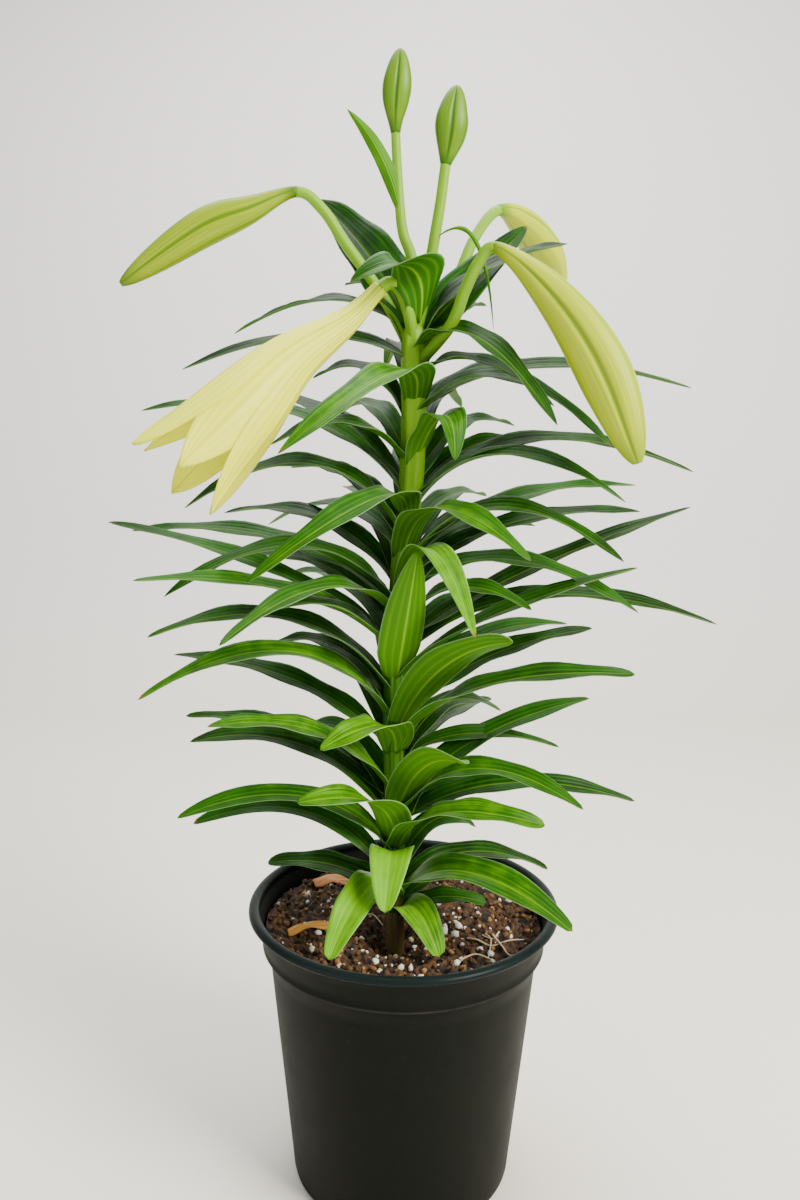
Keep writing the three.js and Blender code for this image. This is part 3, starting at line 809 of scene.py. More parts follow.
def soil_level(x, y):
    """The packed soil's surface: level, crumbly, with a pit round the stem."""
    from_stem = np.hypot(x - STEM[0][0], y - STEM[0][1]) / SOIL_PIT_RADIUS
    crumbs = (np.sin(0.37 * x + 1.3) * np.cos(0.43 * y) + 0.6 * np.sin(0.81 * x - 0.52 * y)
              + 0.5 * np.cos(0.66 * x + 0.93 * y + 0.7))
    pit = SOIL_PIT_DEPTH * np.exp(-from_stem * from_stem)
    return POT_HEIGHT - SOIL_DEPTH_BELOW_RIM - pit + SOIL_CRUMB * crumbs


def clod_height(x, y):
    """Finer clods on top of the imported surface, from 0 in the gaps to 1 on the tops."""
    lumps = noise.fractal(Vector((x, y, 0)) * 0.21, 0.7, 2.1, 3)
    grit = noise.fractal(Vector((x, y, 9)) * 0.62, 0.6, 2.2, 3)
    return min(max(0.5 + 0.55 * lumps + 0.35 * grit, 0), 1)


def make_soil(settings):
    skin = Skin("tall")
    rings, tall = [], []
    clod_size = settings.clod_height / MM
    angles = np.linspace(0, 2 * math.pi, settings.soil_sides, endpoint=False)
    for share in np.linspace(1, 0.066, settings.soil_rings):
        x = STEM[0][0] * (1 - share) + SOIL_RADIUS * share * np.cos(angles)
        y = STEM[0][1] * (1 - share) + SOIL_RADIUS * share * np.sin(angles)
        clods = np.array([clod_height(*place) for place in zip(x, y)])
        rings.append(np.stack([x, y, soil_level(x, y) + clod_size * (clods - 0.5)], 1))
        tall.append(clods)
    low = [(BASE_RADIUS - WALL - 0.4, WALL + 0.4),
           (COLLAR_LOW_RADIUS - COLLAR_STEP - WALL - 1, STEP_Z)]
    foot = turned_rings(low, settings.soil_sides)
    rings = np.concatenate([foot, np.array(rings)])
    tall = np.concatenate([np.zeros((2, settings.soil_sides)), np.array(tall)])
    skin.add_rings(rings, tall=tall)
    return skin.build("soil_bed", soil_material(settings.colours), ["soil"], "soil")


def rough_ball(draw, size, jitter):
    """Points and faces of one lumpy grain."""
    golden = (1 + 5 ** 0.5) / 2
    corners = [(0, a, b * golden) for a in (-1, 1) for b in (-1, 1)]
    corners += [(a, b * golden, 0) for a in (-1, 1) for b in (-1, 1)]
    corners += [(b * golden, 0, a) for a in (-1, 1) for b in (-1, 1)]
    corners = np.array(corners) / 1.9
    edge = [[j for j in range(12) if 0 < np.linalg.norm(corners[i] - corners[j]) < 1.1]
            for i in range(12)]
    faces = [(i, j, k) for i in range(12) for j in edge[i] for k in edge[i]
             if i < j < k and k in edge[j]]
    faces = [f if np.dot(np.cross(corners[f[1]] - corners[f[0]], corners[f[2]] - corners[f[0]]),
                         corners[f[0]]) > 0 else f[::-1] for f in faces]
    stretch = np.array([1, 0.6 + 0.5 * draw(), 0.5 + 0.5 * draw()])
    points = corners * (1 + jitter * (np.array([draw() for _ in range(12)])[:, None] - 0.5))
    turn = Matrix.Rotation(draw() * 6.3, 3, "Z") @ Matrix.Rotation(draw() * 6.3, 3, "X")
    return (points * stretch * size) @ np.array(turn), faces


def scatter_grains(name, count, sizes, clod_size, material, seed, sink):
    draw = random.Random(seed).random
    skin = Skin("shade")
    for _ in range(count):
        radius = (SOIL_RADIUS - 2) * math.sqrt(draw())
        angle = 2 * math.pi * draw()
        x, y = radius * math.cos(angle), radius * math.sin(angle)
        size = sizes[0] + (sizes[1] - sizes[0]) * draw() ** 2
        if math.hypot(x - STEM[0][0], y - STEM[0][1]) < STEM[0][3] + size + 1:
            continue
        points, faces = rough_ball(draw, size / 2, 0.6)
        z = soil_level(x, y) + clod_size * (clod_height(x, y) - 0.5) + size * (0.5 - sink)
        skin.add(points + np.array([x, y, z]), faces, shade=draw())
    return skin.build(name, material, slot="soil")


def on_soil(x, y, lift):
    return (x, y, float(soil_level(x, y)) + lift)


def make_litter(settings):
    colours = settings.colours
    clod_size = settings.clod_height / MM
    root_radius = settings.root_radius / MM
    scatter_grains("perlite_grains", settings.perlite_grains,
                   (PERLITE_SMALLEST, settings.perlite_size / MM), clod_size,
                   perlite_material(colours), 11, 0.25)
    scatter_grains("peat_crumbs", settings.peat_crumbs,
                   (CRUMB_SMALLEST, settings.crumb_size / MM), clod_size,
                   crumb_material(colours), 23, 0.3)
    roots = Skin()
    for line in ROOTS:
        points = [on_soil(x, y, 2.6 + 1.2 * math.sin(3 * i)) for i, (x, y) in enumerate(line)]
        rings, _ = swept_rings(points, np.linspace(0, 1, 24), 8,
                               lambda share, angles: root_radius * (1 - 0.5 * share))
        roots.add_rings(rings)
    roots.build("loose_roots", root_material(colours), slot="soil")
    for number, (start, middle, end, width, colour) in enumerate(DRY_LEAVES):
        skin = Skin("across", "along")
        points = [on_soil(*start, 3), on_soil(*middle, 5), on_soil(*end, 3)]
        shares = np.linspace(0, 1, 20)
        across = np.linspace(-1, 1, 9)
        rows = []
        for share, (centre, side, _) in zip(shares, stations_along(points, shares)):
            half = width / 2 * math.sin(math.pi * (0.08 + 0.84 * share)) ** 0.6
            curl = 1.4 * np.cos(across * 2.4) + 0.6 * np.sin(9 * share + 3 * across)
            rows.append(centre + np.outer(across * half, side) + np.outer(curl, (0, 0, 1)))
        top = np.array(rows)
        rings = np.concatenate([top, top[:, ::-1] - np.array([0, 0, 0.5])], axis=1)
        both = np.concatenate([across, across[::-1]])
        skin.add_rings(rings, across=both[None, :], along=shares[:, None])
        skin.build(f"withered_leaf_{number + 1}",
                   dry_leaf_material(getattr(colours, colour)), slot="soil")


# Leaves and bracts


def lance_width(t, fullness):
    body = np.sin(math.pi * np.clip(t, 0, 1) ** 0.8) ** fullness
    return np.maximum(body, 0.5 * (1 - 2 * t))


def back_leaves():
    """Leaves round the back, each a golden angle's share further round than the one below."""
    state = 8

    def draw():
        nonlocal state
        state = (state * 1664525 + 1013904223) % 4294967296
        return state / 4294967296

    leaves = []
    for i in range(BACK_LEAVES):
        share = i / (BACK_LEAVES - 1)
        turn = (i * GOLDEN_SHARE) % 1 - 0.5
        fullness = math.sin(math.pi * (0.2 + 0.62 * share))
        reach = BACK_REACH * fullness * (0.92 + 0.16 * draw()) * (1 - 0.55 * abs(turn))
        leaves.append((
            BACK_FIRST_Z + (BACK_LAST_Z - BACK_FIRST_Z) * share, BACK_HEADING + BACK_SPREAD * turn,
            reach, 20 + 22 * draw(), 36 + 16 * draw(), BACK_WIDTH + 2 * draw(), 0, 0,
        ))
    return leaves


def leaf_line(leaf, shares, leaf_lean):
    """Middle line of a leaf and the direction across it at each share."""
    height, heading, reach, rise, arch, _, sweep, roll = leaf
    t = shares
    turn = np.radians(heading - sweep * (1 - t))
    base = height - LEAF_ROOT_DROP
    climb = rise + LEAF_ROOT_DROP
    bow = arch + 1.5 * LEAF_ROOT_DROP
    root = stem_at(base)
    run = reach * t ** LEAF_UPTURN
    line = np.stack([
        root[0] + run * np.cos(turn),
        root[1] + run * np.sin(turn),
        base + 2 * t * (1 - t) * bow + t * t * climb,
    ], 1)
    lean = -(leaf_lean + math.radians(roll)) * np.cos(turn) * np.minimum(1, 3 * t)
    run_pace = reach * LEAF_UPTURN * t ** (LEAF_UPTURN - 1)
    slope = np.arctan2(2 * (1 - 2 * t) * bow + 2 * t * climb, run_pace)
    up = np.stack([-np.sin(slope) * np.cos(turn), -np.sin(slope) * np.sin(turn), np.cos(slope)], 1)
    side = np.stack([np.sin(turn), -np.cos(turn), 0 * turn], 1)
    return line, side * np.cos(lean)[:, None] + up * np.sin(lean)[:, None]


def add_blade(skin, settings, line, side, half, shares, columns, draw, tone):
    """One blade: folded along its rib, waved along its edges, with a thin closed body."""
    along = unit(np.gradient(line, axis=0))
    up = unit(np.cross(side, along))
    side = np.cross(along, up)
    across = np.linspace(-1, 1, columns + 1)
    half[-1] = 0.12
    spread = half[:, None] * across[None, :]
    phase, waves = 6.3 * draw(), 1.5 + 2.5 * draw()
    wave = np.sin(2 * math.pi * waves * shares + phase)[:, None] * across[None, :] ** 2
    wave = wave * np.where(across > 0, 1, -0.8)[None, :] * np.minimum(1, half / 4)[:, None]
    fold = 2 * LEAF_CHANNEL * half[:, None] * np.abs(across)[None, :] ** 1.4
    ribs = 0.05 * np.cos(across * 9.4)[None, :] * np.minimum(1, half / 5)[:, None]
    groove = -0.35 * np.exp(-(across / 0.13) ** 2)[None, :] * np.minimum(1, half / 3)[:, None]
    lift = fold + settings.leaf_wave / MM * wave + ribs + groove
    raised = lift[:, :, None] * up[:, None, :]
    top = line[:, None, :] + spread[:, :, None] * side[:, None, :] + raised
    thick = settings.leaf_thickness / MM * (1 - LEAF_EDGE_THINNING * np.abs(across))[None, :]
    thick = thick * np.minimum(1, 0.3 + half / 3)[:, None]
    bottom = top - thick[:, :, None] * up[:, None, :]
    rings = np.concatenate([top[:, ::-1], bottom], axis=1)
    both = np.concatenate([across[::-1], across])[None, :]
    upper = np.concatenate([np.ones(columns + 1), np.zeros(columns + 1)])[None, :]
    skin.add_rings(rings, across=both, along=shares[:, None], upper=upper, shade=draw(),
                   tone=np.clip(tone, 0, 1)[:, None])


def leaf_tone(leaf, shares):
    """Painted light on a leaf: lighter low down, in front and near the stem, darker high up and at
    the back.
    """
    height, heading = leaf[0], leaf[1]
    front = max(0, -math.sin(math.radians(heading)))
    low = 1 - (height - 150) / 300
    return 0.12 + 0.38 * low * (0.45 + front) + 0.3 * front + 0.25 * (1 - shares) ** 3


def make_leaves(settings):
    skin = Skin("across", "along", "upper", "shade", "tone")
    draw = random.Random(41).random
    for leaf in [*LEAVES, *back_leaves()]:
        reach, width = leaf[2], leaf[5]
        first = (LEAF_ROOT_DEPTH / reach) ** (1 / LEAF_UPTURN)
        shares = np.concatenate([
            first + (0.9 - first) * np.linspace(0, 1, settings.leaf_rows - 4),
            [0.935, 0.965, 0.987, 1],
        ])
        line, side = leaf_line(leaf, shares, settings.leaf_lean)
        fullness = np.interp(leaf[0], (SOIL_LEAF_Z, LEAF_LOW_Z, LEAF_HIGH_Z),
                             (SOIL_LEAF_FULLNESS, LEAF_LOW_FULLNESS, LEAF_HIGH_FULLNESS))
        clasp = LEAF_CLASP_HALF + LEAF_CLASP_GROWTH * reach * shares ** LEAF_UPTURN
        half = np.minimum(width * lance_width(shares, fullness) / 2, clasp)
        add_blade(skin, settings, line, side, half, shares, settings.leaf_columns, draw,
                  leaf_tone(leaf, shares))
    for root, bend, tip, width in BRACTS:
        shares = np.linspace(0, 1, 22)
        root, bend, tip = (np.array(p, float) for p in (root, bend, tip))
        t = shares[:, None]
        line = root * (1 - t) ** 2 + 2 * bend * t * (1 - t) + tip * t ** 2
        flat = unit(np.cross(tip - root, (0, 1, 0)))
        side = np.broadcast_to(flat, line.shape)
        half = width * lance_width(shares, BRACT_FULLNESS) / 2
        # Bracts get one even amount of painted light.
        add_blade(skin, settings, line, side, half, shares, 6, draw, 0.75 + 0 * shares)
    return skin.build("leaves", leaf_material(settings.colours), ["leafy_stem"], "leafy_stem")


# Stem and stalks


def make_stem(settings):
    skin = Skin("level", "around")
    shares = np.linspace(0, 1, 90)

    def ridged(share, angles):
        radius = along_points(STEM, share)[3]
        return radius * (1 + 0.05 * np.cos(7 * angles + 9 * share) + 0.02 * np.cos(3 * angles))

    rings, angles = swept_rings(STEM, shares, settings.stem_sides, ridged)
    level = (rings[:, :, 2] - 130) / 330
    skin.add_rings(rings, level=level, around=np.broadcast_to(angles, level.shape))
    for head in HEADS.values():
        low, high = head["stalk_radius"]
        end = neck_share(head)
        shares = np.linspace(0, end + 0.004, 40)
        rings, angles = swept_rings(head_line(head), shares, 20, lambda share, a: (
            low + (high - low) * share / end) * (1 + 0.04 * np.cos(6 * a)))
        level = 0.8 + 0.3 * np.broadcast_to(shares[:, None] / end, rings.shape[:2])
        skin.add_rings(rings, level=level, around=np.broadcast_to(angles, level.shape))
    return skin.build("stem_and_stalks", stem_material(settings.colours), ["leafy_stem"],
                      "leafy_stem")


# Buds


def bud_radius(t, head):
    foot, full, bulge = head["stalk_radius"][1], head["radius"], head["bulge"]
    if t > bulge:
        return full * max(0, math.cos(math.pi / 2 * (t - bulge) / (1 - bulge))) ** 0.7
    return foot + (full - foot) * math.sin(math.pi / 2 * max(0, t / bulge)) ** head["swell"]


def make_buds(settings):
    for name, head in HEADS.items():
        if "bulge" not in head:
            continue
        tints = [getattr(settings.colours, f"bud_{head['skin']}_{zone}")
                 for zone in ("ground", "seam", "tip")]
        neck = neck_share(head)
        steps = np.linspace(0, 1, settings.bud_rings) ** 0.95
        shares = neck + (1 - neck) * 0.985 * (1 - (1 - steps) ** 1.15)

        def shaped(share, angles):
            t = (share - neck) / (1 - neck)
            round_at = bud_radius(t, head)
            keel = 1 + 0.06 * min(1, 3 * t) * np.cos(3 * angles)
            return round_at * keel * (1 - 0.09 * min(1, 4 * t) * groove_at(angles))

        rings, angles = swept_rings(head_line(head), shares, settings.bud_sides, shaped)
        along = (shares - neck) / (1 - neck)
        skin = Skin("groove", "along", "around")
        lines = groove_at(angles) + 0.6 * np.exp(-((np.cos(3 * angles) - 1) / 0.06) ** 2)
        skin.add_rings(rings, groove=lines[None, :], along=along[:, None],
                       around=np.abs(angles - math.pi)[None, :])
        skin.build(f"{name}_skin", bud_material(f"{name}_skin", *tints), [name], name)


def groove_at(angles):
    """One in each of the three seams between a bud's sepals, zero between them."""
    return np.exp(-((np.cos(3 * angles) + 1) / 0.08) ** 2)


# Open flower


def trumpet_radius(t, foot, full, tip_flare):
    swell = (1 - np.cos(math.pi * min(1, t / TRUMPET_FULL_AT) ** TRUMPET_SWELL)) / 2
    flare = tip_flare * max(0, (t - TIP_FLARE_FROM) / (1 - TIP_FLARE_FROM)) ** 2
    return foot + (full - foot) * swell + flare


def make_flower(settings):
    head = HEADS["open_flower"]
    neck = neck_share(head)
    skin = Skin("across", "along", "shade")
    draw = random.Random(5).random
    foot, full = head["stalk_radius"][1] - 1.1, head["radius"]
    ruffle_height, tip_flare = settings.petal_ruffle / MM, settings.tip_flare / MM
    across = np.linspace(-1, 1, settings.petal_columns + 1)
    for index in range(6):
        layer = index % 2
        middle = index * math.pi / 3
        spread = math.radians(PETAL_SPREADS[layer])
        lift = PETAL_LIFTS[layer]
        length = PETAL_LENGTHS[layer]
        shares = length * (1 - (1 - np.linspace(0, 1, settings.petal_rows)) ** 1.2)
        stations = stations_along(head_line(head), neck + (1 - neck) * shares)
        phase = 6.3 * draw()
        rings = []
        for t, (centre, side, up) in zip(shares, stations):
            share = t / length
            narrow = 1.0
            if share > PETAL_NARROW_FROM:
                past = (share - PETAL_NARROW_FROM) / (1 - PETAL_NARROW_FROM)
                narrow = max(0.02, 1 - past ** 1.5)
            angles = middle + spread * narrow * across
            wave = np.sin(14 * share + phase + 2 * across)
            ruffle = ruffle_height * share ** 2 * wave * across ** 2
            rib = 0.5 * min(1, 6 * share) * np.exp(-(across / 0.12) ** 2)
            outside = trumpet_radius(t, foot, full, tip_flare) + lift + 1.0 + ruffle + rib
            inside = outside - 0.7 - 0.3 * np.exp(-(across / 0.3) ** 2)
            rows = [centre + np.outer(np.cos(angles) * r, side) + np.outer(np.sin(angles) * r, up)
                    for r in (outside, inside)]
            rings.append(np.concatenate([rows[0], rows[1][::-1]]))
        both = np.concatenate([across, across[::-1]])
        skin.add_rings(np.array(rings), across=both[None, :], along=shares[:, None],
                       shade=draw())
    return skin.build("open_flower_petals", petal_material(settings.colours), ["open_flower"],
                      "open_flower")


# Stage


def make_backdrop(settings):
    """Floor that sweeps up into a wall behind the plant."""
    skin = Skin("upright")
    floor_reach, bend, top, width = 900, 260, 1900, 2600
    profile = [(-1500, 0.0, 0.0), (0, 0.0, 0.0), (floor_reach, 0.0, 0.0)]
    profile += [(floor_reach + bend * math.sin(a), bend * (1 - math.cos(a)), a / (math.pi / 2))
                for a in np.linspace(0.1, math.pi / 2, 12)]
    profile.append((floor_reach + bend, top, 1.0))
    columns = np.linspace(-width, width, 3)
    points = [[x, y, z] for y, z, _ in profile for x in columns]
    faces = [(3 * i + j, 3 * i + j + 1, 3 * i + j + 4, 3 * i + j + 3)
             for i in range(len(profile) - 1) for j in range(2)]
    skin.add(points, faces, upright=np.repeat([p[2] for p in profile], 3))
    mesh = bpy.data.meshes.new("backdrop")
    mesh.from_pydata(np.concatenate(skin.points) * MM, [], skin.faces)
    layer = mesh.attributes.new("upright", "FLOAT", "POINT")
    layer.data.foreach_set("value", np.concatenate(skin.marks["upright"]).astype(np.float32))
    mesh.polygons.foreach_set("use_smooth", [True] * len(mesh.polygons))
    mesh.materials.append(floor_material(settings))
    backdrop = bpy.data.objects.new("backdrop", mesh)
    bpy.context.scene.collection.objects.link(backdrop)


def add_light(name, place, target, size, power, colour):
    data = bpy.data.lights.new(name, "AREA")
    data.size = size
    data.energy = power
    data.color = colour
    light = bpy.data.objects.new(name, data)
    light.location = place
    light.rotation_euler = (Vector(target) - Vector(place)).to_track_quat("-Z", "Y").to_euler()
    bpy.context.scene.collection.objects.link(light)


def make_stage(settings):
    make_backdrop(settings)
    middle = (0, 0, 0.33)
    add_light("key_light", (1.0, -0.75, 1.15), middle, 0.7, settings.key_power,
              settings.key_colour)
    add_light("fill_light", (-1.2, -0.9, 0.6), middle, 1.2, settings.fill_power,
              settings.fill_colour)
    add_light("top_light", (-0.1, 0.35, 1.5), middle, 1.0, settings.top_power,
              settings.top_colour)
    world = bpy.data.worlds.new("studio")
    world.use_nodes = True
    sky = world.node_tree.nodes["Background"].inputs
    sky["Color"].default_value = (*settings.sky_colour, 1)
    sky["Strength"].default_value = settings.sky_strength
    bpy.context.scene.world = world
    data = bpy.data.cameras.new("camera")
    data.lens = settings.camera_lens
    data.sensor_width = 36
    data.clip_start = 0.01
    camera = bpy.data.objects.new("camera", data)
    tilt = Matrix.Rotation(math.pi / 2 - settings.camera_tilt, 4, "X")
    roll = Matrix.Rotation(settings.camera_roll, 4, "Z")
    place = (settings.camera_side, -settings.camera_distance, settings.camera_height)
    camera.matrix_world = Matrix.Translation(place) @ tilt @ roll
    bpy.context.scene.collection.objects.link(camera)
    bpy.context.scene.camera = camera


# Settings


def measure(name, millimetres, description):
    """One length, given in millimetres and kept in metres."""
    return FloatProperty(name=name, unit="LENGTH", default=millimetres * MM, min=0, precision=4,
                         description=description)


def tint(name, default, description):
    """One colour, as linear red, green and blue."""
    return FloatVectorProperty(name=name, subtype="COLOR", size=3, default=default, min=0, max=1,
                               description=description)


class LilyColours(bpy.types.PropertyGroup):
    """Colours of the plant, the pot and the soil."""

    # Dark, mid and bright greens are mixed by painted light and mottle: bright for leaves painted
    # as lit, dark for shaded ones.
    leaf_dark: tint("Leaf dark", (0.0008, 0.014, 0.0005), "Leaves in their darkest parts")
    leaf_mid: tint("Leaf green", (0.011, 0.090, 0.0002), "Leaves over most of their length")
    leaf_lit: tint("Leaf bright", (0.15, 0.42, 0.0), "Leaves in front and low down")
    leaf_vein: tint("Leaf veins", (0.30, 0.56, 0.01), "Rib and veins of a leaf")
    # Painted highlight along the leaves' edges.
    leaf_rim_highlight: tint("Leaf rim", (0.52, 0.68, 0.38), "Thin pale edge of a leaf")
    leaf_under: tint("Leaf underside", (0.02, 0.12, 0.001), "Duller side of a leaf")
    leaf_dry: tint("Leaf tip", (0.20, 0.10, 0.03), "Dried tips of some leaves")
    stem_green: tint("Stem green", (0.015, 0.09, 0.001), "Stem among the leaves")
    stem_light: tint("Stem light", (0.20, 0.42, 0.004), "Stalks near the flower heads")
    stem_foot: tint("Stem foot", (0.10, 0.07, 0.02), "Stem where it leaves the soil")
    petal_cream: tint("Petal cream", (0.93, 0.97, 0.03), "Petals between their ribs")
    petal_gold: tint("Petal gold", (0.64, 0.60, 0.0), "Ribs and edges of the petals")
    petal_green: tint("Petal green", (0.46, 0.62, 0.0), "Petals at the neck and the tips")
    bud_left_ground: tint("Left bud", (0.30, 0.41, 0.0), "Long bud on the left")
    bud_left_seam: tint("Left bud seams", (0.08, 0.18, 0.0), "Along its seams")
    bud_left_tip: tint("Left bud ends", (0.06, 0.15, 0.0), "At its tip and neck")
    bud_front_ground: tint("Front bud", (0.50, 0.60, 0.0), "Large bud in front")
    bud_front_seam: tint("Front bud seams", (0.19, 0.31, 0.0), "Along its seams")
    bud_front_tip: tint("Front bud ends", (0.17, 0.29, 0.0), "At its tip and neck")
    bud_back_ground: tint("Back bud", (0.50, 0.58, 0.002), "Large bud at the back")
    bud_back_seam: tint("Back bud seams", (0.24, 0.36, 0.001), "Along its seams")
    bud_back_tip: tint("Back bud ends", (0.12, 0.28, 0.001), "At its tip and neck")
    bud_top_ground: tint("Top buds", (0.14, 0.29, 0.0), "Two small upright buds")
    bud_top_seam: tint("Top bud seams", (0.03, 0.11, 0.0), "Along their seams")
    bud_top_tip: tint("Top bud ends", (0.05, 0.15, 0.0), "At their tips and necks")
    pot_black: tint("Pot", (0.004, 0.005, 0.004), "Clean plastic of the pot")
    pot_dusty: tint("Pot dust", (0.007, 0.009, 0.006), "Dusty patches on the pot")
    pot_speck: tint("Pot specks", (0.06, 0.06, 0.05), "Small specks on the pot")
    # Painted highlight colour of the lip.
    pot_lip_highlight: tint("Pot lip", (0.008, 0.014, 0.013), "Shinier lip of the pot")
    # Painted highlight: the light line along the collar's lower edge is painted light, not rubbed
    # plastic.
    pot_edge_highlight: tint("Pot scuffs", (0.05, 0.05, 0.045), "Rubbed edge of the collar")
    # Painted shade in the gaps between the clods, and the darkest loose crumbs.
    soil_dark_and_shade: tint("Soil dark", (0.004, 0.002, 0.001), "Gaps between the clods")
    soil_brown: tint("Soil brown", (0.10, 0.040, 0.010), "Tops of the clods")
    soil_tan: tint("Soil tan", (0.42, 0.21, 0.06), "Flecks of bark")
    perlite_white: tint("Perlite", (0.80, 0.78, 0.70), "Clean perlite grains")
    perlite_stain: tint("Perlite stain", (0.48, 0.42, 0.22), "Stained perlite grains")
    perlite_shadow: tint("Perlite pits", (0.40, 0.32, 0.20), "Pits in the grains")
    root_pale: tint("Root pale", (0.62, 0.52, 0.33), "Loose dry roots")
    root_brown: tint("Root brown", (0.35, 0.22, 0.10), "Darker streaks of the roots")
    withered_brown: tint("Withered brown", (0.36, 0.15, 0.05), "Dry leaf near the back")
    withered_tan: tint("Withered tan", (0.42, 0.2, 0.03), "Dry leaf on the left")


class LilySettings(bpy.types.PropertyGroup):
    """Sizes of the plant, pot and soil, their colours and how finely they are built."""

    lip_width: measure("Lip width", 6, "From the inside to the outside of the pot's rolled lip")
    drain_hole_radius: measure("Drain holes", 4, "Radius of a hole in the pot's floor")
    clod_height: measure("Clod height", 3.4, "From the gaps to the tops of the soil's clods")
    perlite_size: measure("Perlite size", 4.6, "Length of the largest white grain")
    crumb_size: measure("Crumb size", 4.2, "Length of the largest loose crumb")
    root_radius: measure("Root radius", 0.5, "Loose roots at their thick end")
    leaf_thickness: measure("Leaf thickness", 0.75, "Leaves at their rib")
    leaf_wave: measure("Leaf wave", 0.9, "Rise and fall of a leaf's edges")
    leaf_lean: FloatProperty(name="Leaf lean", subtype="ANGLE", default=math.radians(22),
                             description="Turn of a sideways leaf towards the front")
    petal_ruffle: measure("Petal ruffle", 0.9, "Rise and fall of a petal's edges")
    tip_flare: measure("Tip flare", 4, "How far the petals open outwards at their tips")
    colours: PointerProperty(type=LilyColours, name="Colours",
                             description="Colours of the plant, the pot and the soil")
    pot_sides: IntProperty(name="Pot sides", description="Faces round the pot", default=160, min=24)
    soil_sides: IntProperty(name="Soil sides", description="Points round the soil", default=260,
                            min=24)
    soil_rings: IntProperty(name="Soil rings", description="Rings across the soil", default=84,
                            min=8)
    perlite_grains: IntProperty(name="Perlite grains", description="White grains on the soil",
                                default=230, min=0)
    peat_crumbs: IntProperty(name="Peat crumbs", description="Loose crumbs on the soil",
                             default=1500, min=0)
    leaf_rows: IntProperty(name="Leaf rows", description="Rows of faces along a leaf", default=26,
                           min=8)
    leaf_columns: IntProperty(name="Leaf columns", description="Columns of faces across a leaf",
                              default=10, min=4)
    stem_sides: IntProperty(name="Stem sides", description="Faces round the stem", default=42,
                            min=8)
    bud_sides: IntProperty(name="Bud sides", description="Faces round a bud", default=84, min=18)
    bud_rings: IntProperty(name="Bud rings", description="Rings along a bud", default=60, min=8)
    petal_rows: IntProperty(name="Petal rows", description="Rows of faces along a petal",
                            default=48, min=8)
    petal_columns: IntProperty(name="Petal columns", description="Columns of faces across a petal",
                               default=22, min=4)


class StageSettings(bpy.types.PropertyGroup):
    """Where the camera stands, and the lights and colours of the studio."""

    camera_distance: FloatProperty(name="Camera distance", unit="LENGTH", default=0.491,
                                   description="From the pot's axis, along the floor")
    camera_side: FloatProperty(name="Camera side", unit="LENGTH", default=-0.0036,
                               description="Sideways from the pot's axis")
    camera_height: FloatProperty(name="Camera height", unit="LENGTH", default=0.391,
                                 description="Above the floor")
    camera_tilt: FloatProperty(name="Camera tilt", subtype="ANGLE", default=math.radians(8.9),
                               description="Downwards from level")
    camera_roll: FloatProperty(name="Camera roll", subtype="ANGLE", default=math.radians(0.6),
                               description="Turn about the line of sight")
    camera_lens: FloatProperty(name="Camera lens", unit="CAMERA", default=29.1, min=1,
                               description="Focal length in millimetres")
    key_power: FloatProperty(name="Key light", unit="POWER", default=54, min=0,
                             description="Soft light from the right")
    fill_power: FloatProperty(name="Fill light", unit="POWER", default=10, min=0,
                              description="Broad light from the left")
    top_power: FloatProperty(name="Top light", unit="POWER", default=28, min=0,
                             description="Broad light from above and behind")
    sky_strength: FloatProperty(name="Sky strength", default=0.18, min=0,
                                description="Even light from all round")
    key_colour: tint("Key colour", (1.0, 0.95, 0.87), "Warm light from the right")
    fill_colour: tint("Fill colour", (0.93, 0.97, 1.0), "Cool light from the left")
    top_colour: tint("Top colour", (1.0, 1.0, 0.98), "Light from above and behind")
    sky_colour: tint("Sky colour", (0.93, 0.96, 1.0), "Even light from all round")
    floor_colour: tint("Floor", (0.90, 0.85, 0.75), "Plain floor")
    wall_colour: tint("Wall", (0.88, 0.89, 0.90), "Plain wall behind the plant")
    cloud_colour: tint("Clouding", (0.86, 0.85, 0.82), "Soft patches on floor and wall")


# Operators


class LILY_OT_pot(bpy.types.Operator):
    """Build the nursery pot"""

    bl_idname = "lily.pot"
    bl_label = "Pot"

    def execute(self, context):
        make_pot(context.scene.lily)
        return {"FINISHED"}


class LILY_OT_soil(bpy.types.Operator):
    """Build the bed of potting soil"""

    bl_idname = "lily.soil"
    bl_label = "Soil"

    def execute(self, context):
        make_soil(context.scene.lily)
        return {"FINISHED"}


class LILY_OT_litter(bpy.types.Operator):
    """Scatter perlite, crumbs, roots and withered leaves on the soil"""

    bl_idname = "lily.litter"
    bl_label = "Litter"

    def execute(self, context):
        make_litter(context.scene.lily)
        return {"FINISHED"}


class LILY_OT_stem(bpy.types.Operator):
    """Build the stem and the stalks of the flower and buds"""

    bl_idname = "lily.stem"
    bl_label = "Stem"

    def execute(self, context):
        make_stem(context.scene.lily)
        return {"FINISHED"}


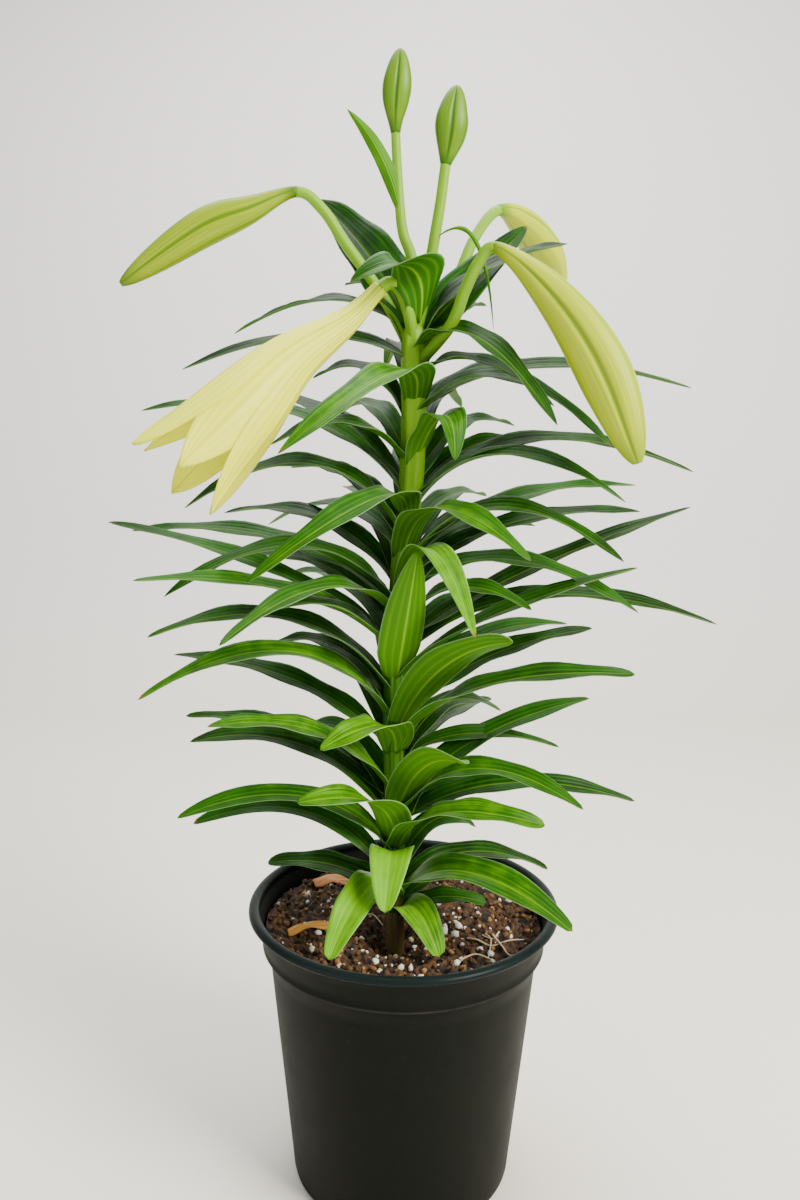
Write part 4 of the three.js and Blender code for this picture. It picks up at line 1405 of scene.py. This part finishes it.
class LILY_OT_leaves(bpy.types.Operator):
    """Build the leaves and bracts"""

    bl_idname = "lily.leaves"
    bl_label = "Leaves"

    def execute(self, context):
        make_leaves(context.scene.lily)
        return {"FINISHED"}


class LILY_OT_buds(bpy.types.Operator):
    """Build the closed buds"""

    bl_idname = "lily.buds"
    bl_label = "Buds"

    def execute(self, context):
        make_buds(context.scene.lily)
        return {"FINISHED"}


class LILY_OT_flower(bpy.types.Operator):
    """Build the open flower's petals"""

    bl_idname = "lily.flower"
    bl_label = "Flower"

    def execute(self, context):
        make_flower(context.scene.lily)
        return {"FINISHED"}


class LILY_OT_stage(bpy.types.Operator):
    """Build the backdrop, lights and camera"""

    bl_idname = "lily.stage"
    bl_label = "Stage"

    def execute(self, context):
        make_stage(context.scene.lily_stage)
        return {"FINISHED"}


OPERATORS = (LILY_OT_pot, LILY_OT_soil, LILY_OT_litter, LILY_OT_stem, LILY_OT_leaves,
             LILY_OT_buds, LILY_OT_flower, LILY_OT_stage)


class LILY_PT_panel(bpy.types.Panel):
    """Lists the steps that build the lily"""

    bl_label = "Potted Easter Lily"
    bl_idname = "LILY_PT_panel"
    bl_space_type = "VIEW_3D"
    bl_region_type = "UI"
    bl_category = "Lily"

    def draw(self, context):
        for operator in OPERATORS:
            self.layout.operator(operator.bl_idname)


CLASSES = (LilyColours, LilySettings, StageSettings, *OPERATORS, LILY_PT_panel)


def register():
    for item in CLASSES:
        bpy.utils.register_class(item)
    bpy.types.Scene.lily = PointerProperty(type=LilySettings)
    bpy.types.Scene.lily_stage = PointerProperty(type=StageSettings)


def unregister():
    del bpy.types.Scene.lily_stage
    del bpy.types.Scene.lily
    for item in reversed(CLASSES):
        bpy.utils.unregister_class(item)


def main():
    register()
    for step in (bpy.ops.lily.pot, bpy.ops.lily.soil, bpy.ops.lily.litter, bpy.ops.lily.stem,
                 bpy.ops.lily.leaves, bpy.ops.lily.buds, bpy.ops.lily.flower, bpy.ops.lily.stage):
        step()


if __name__ == "__main__":
    main()
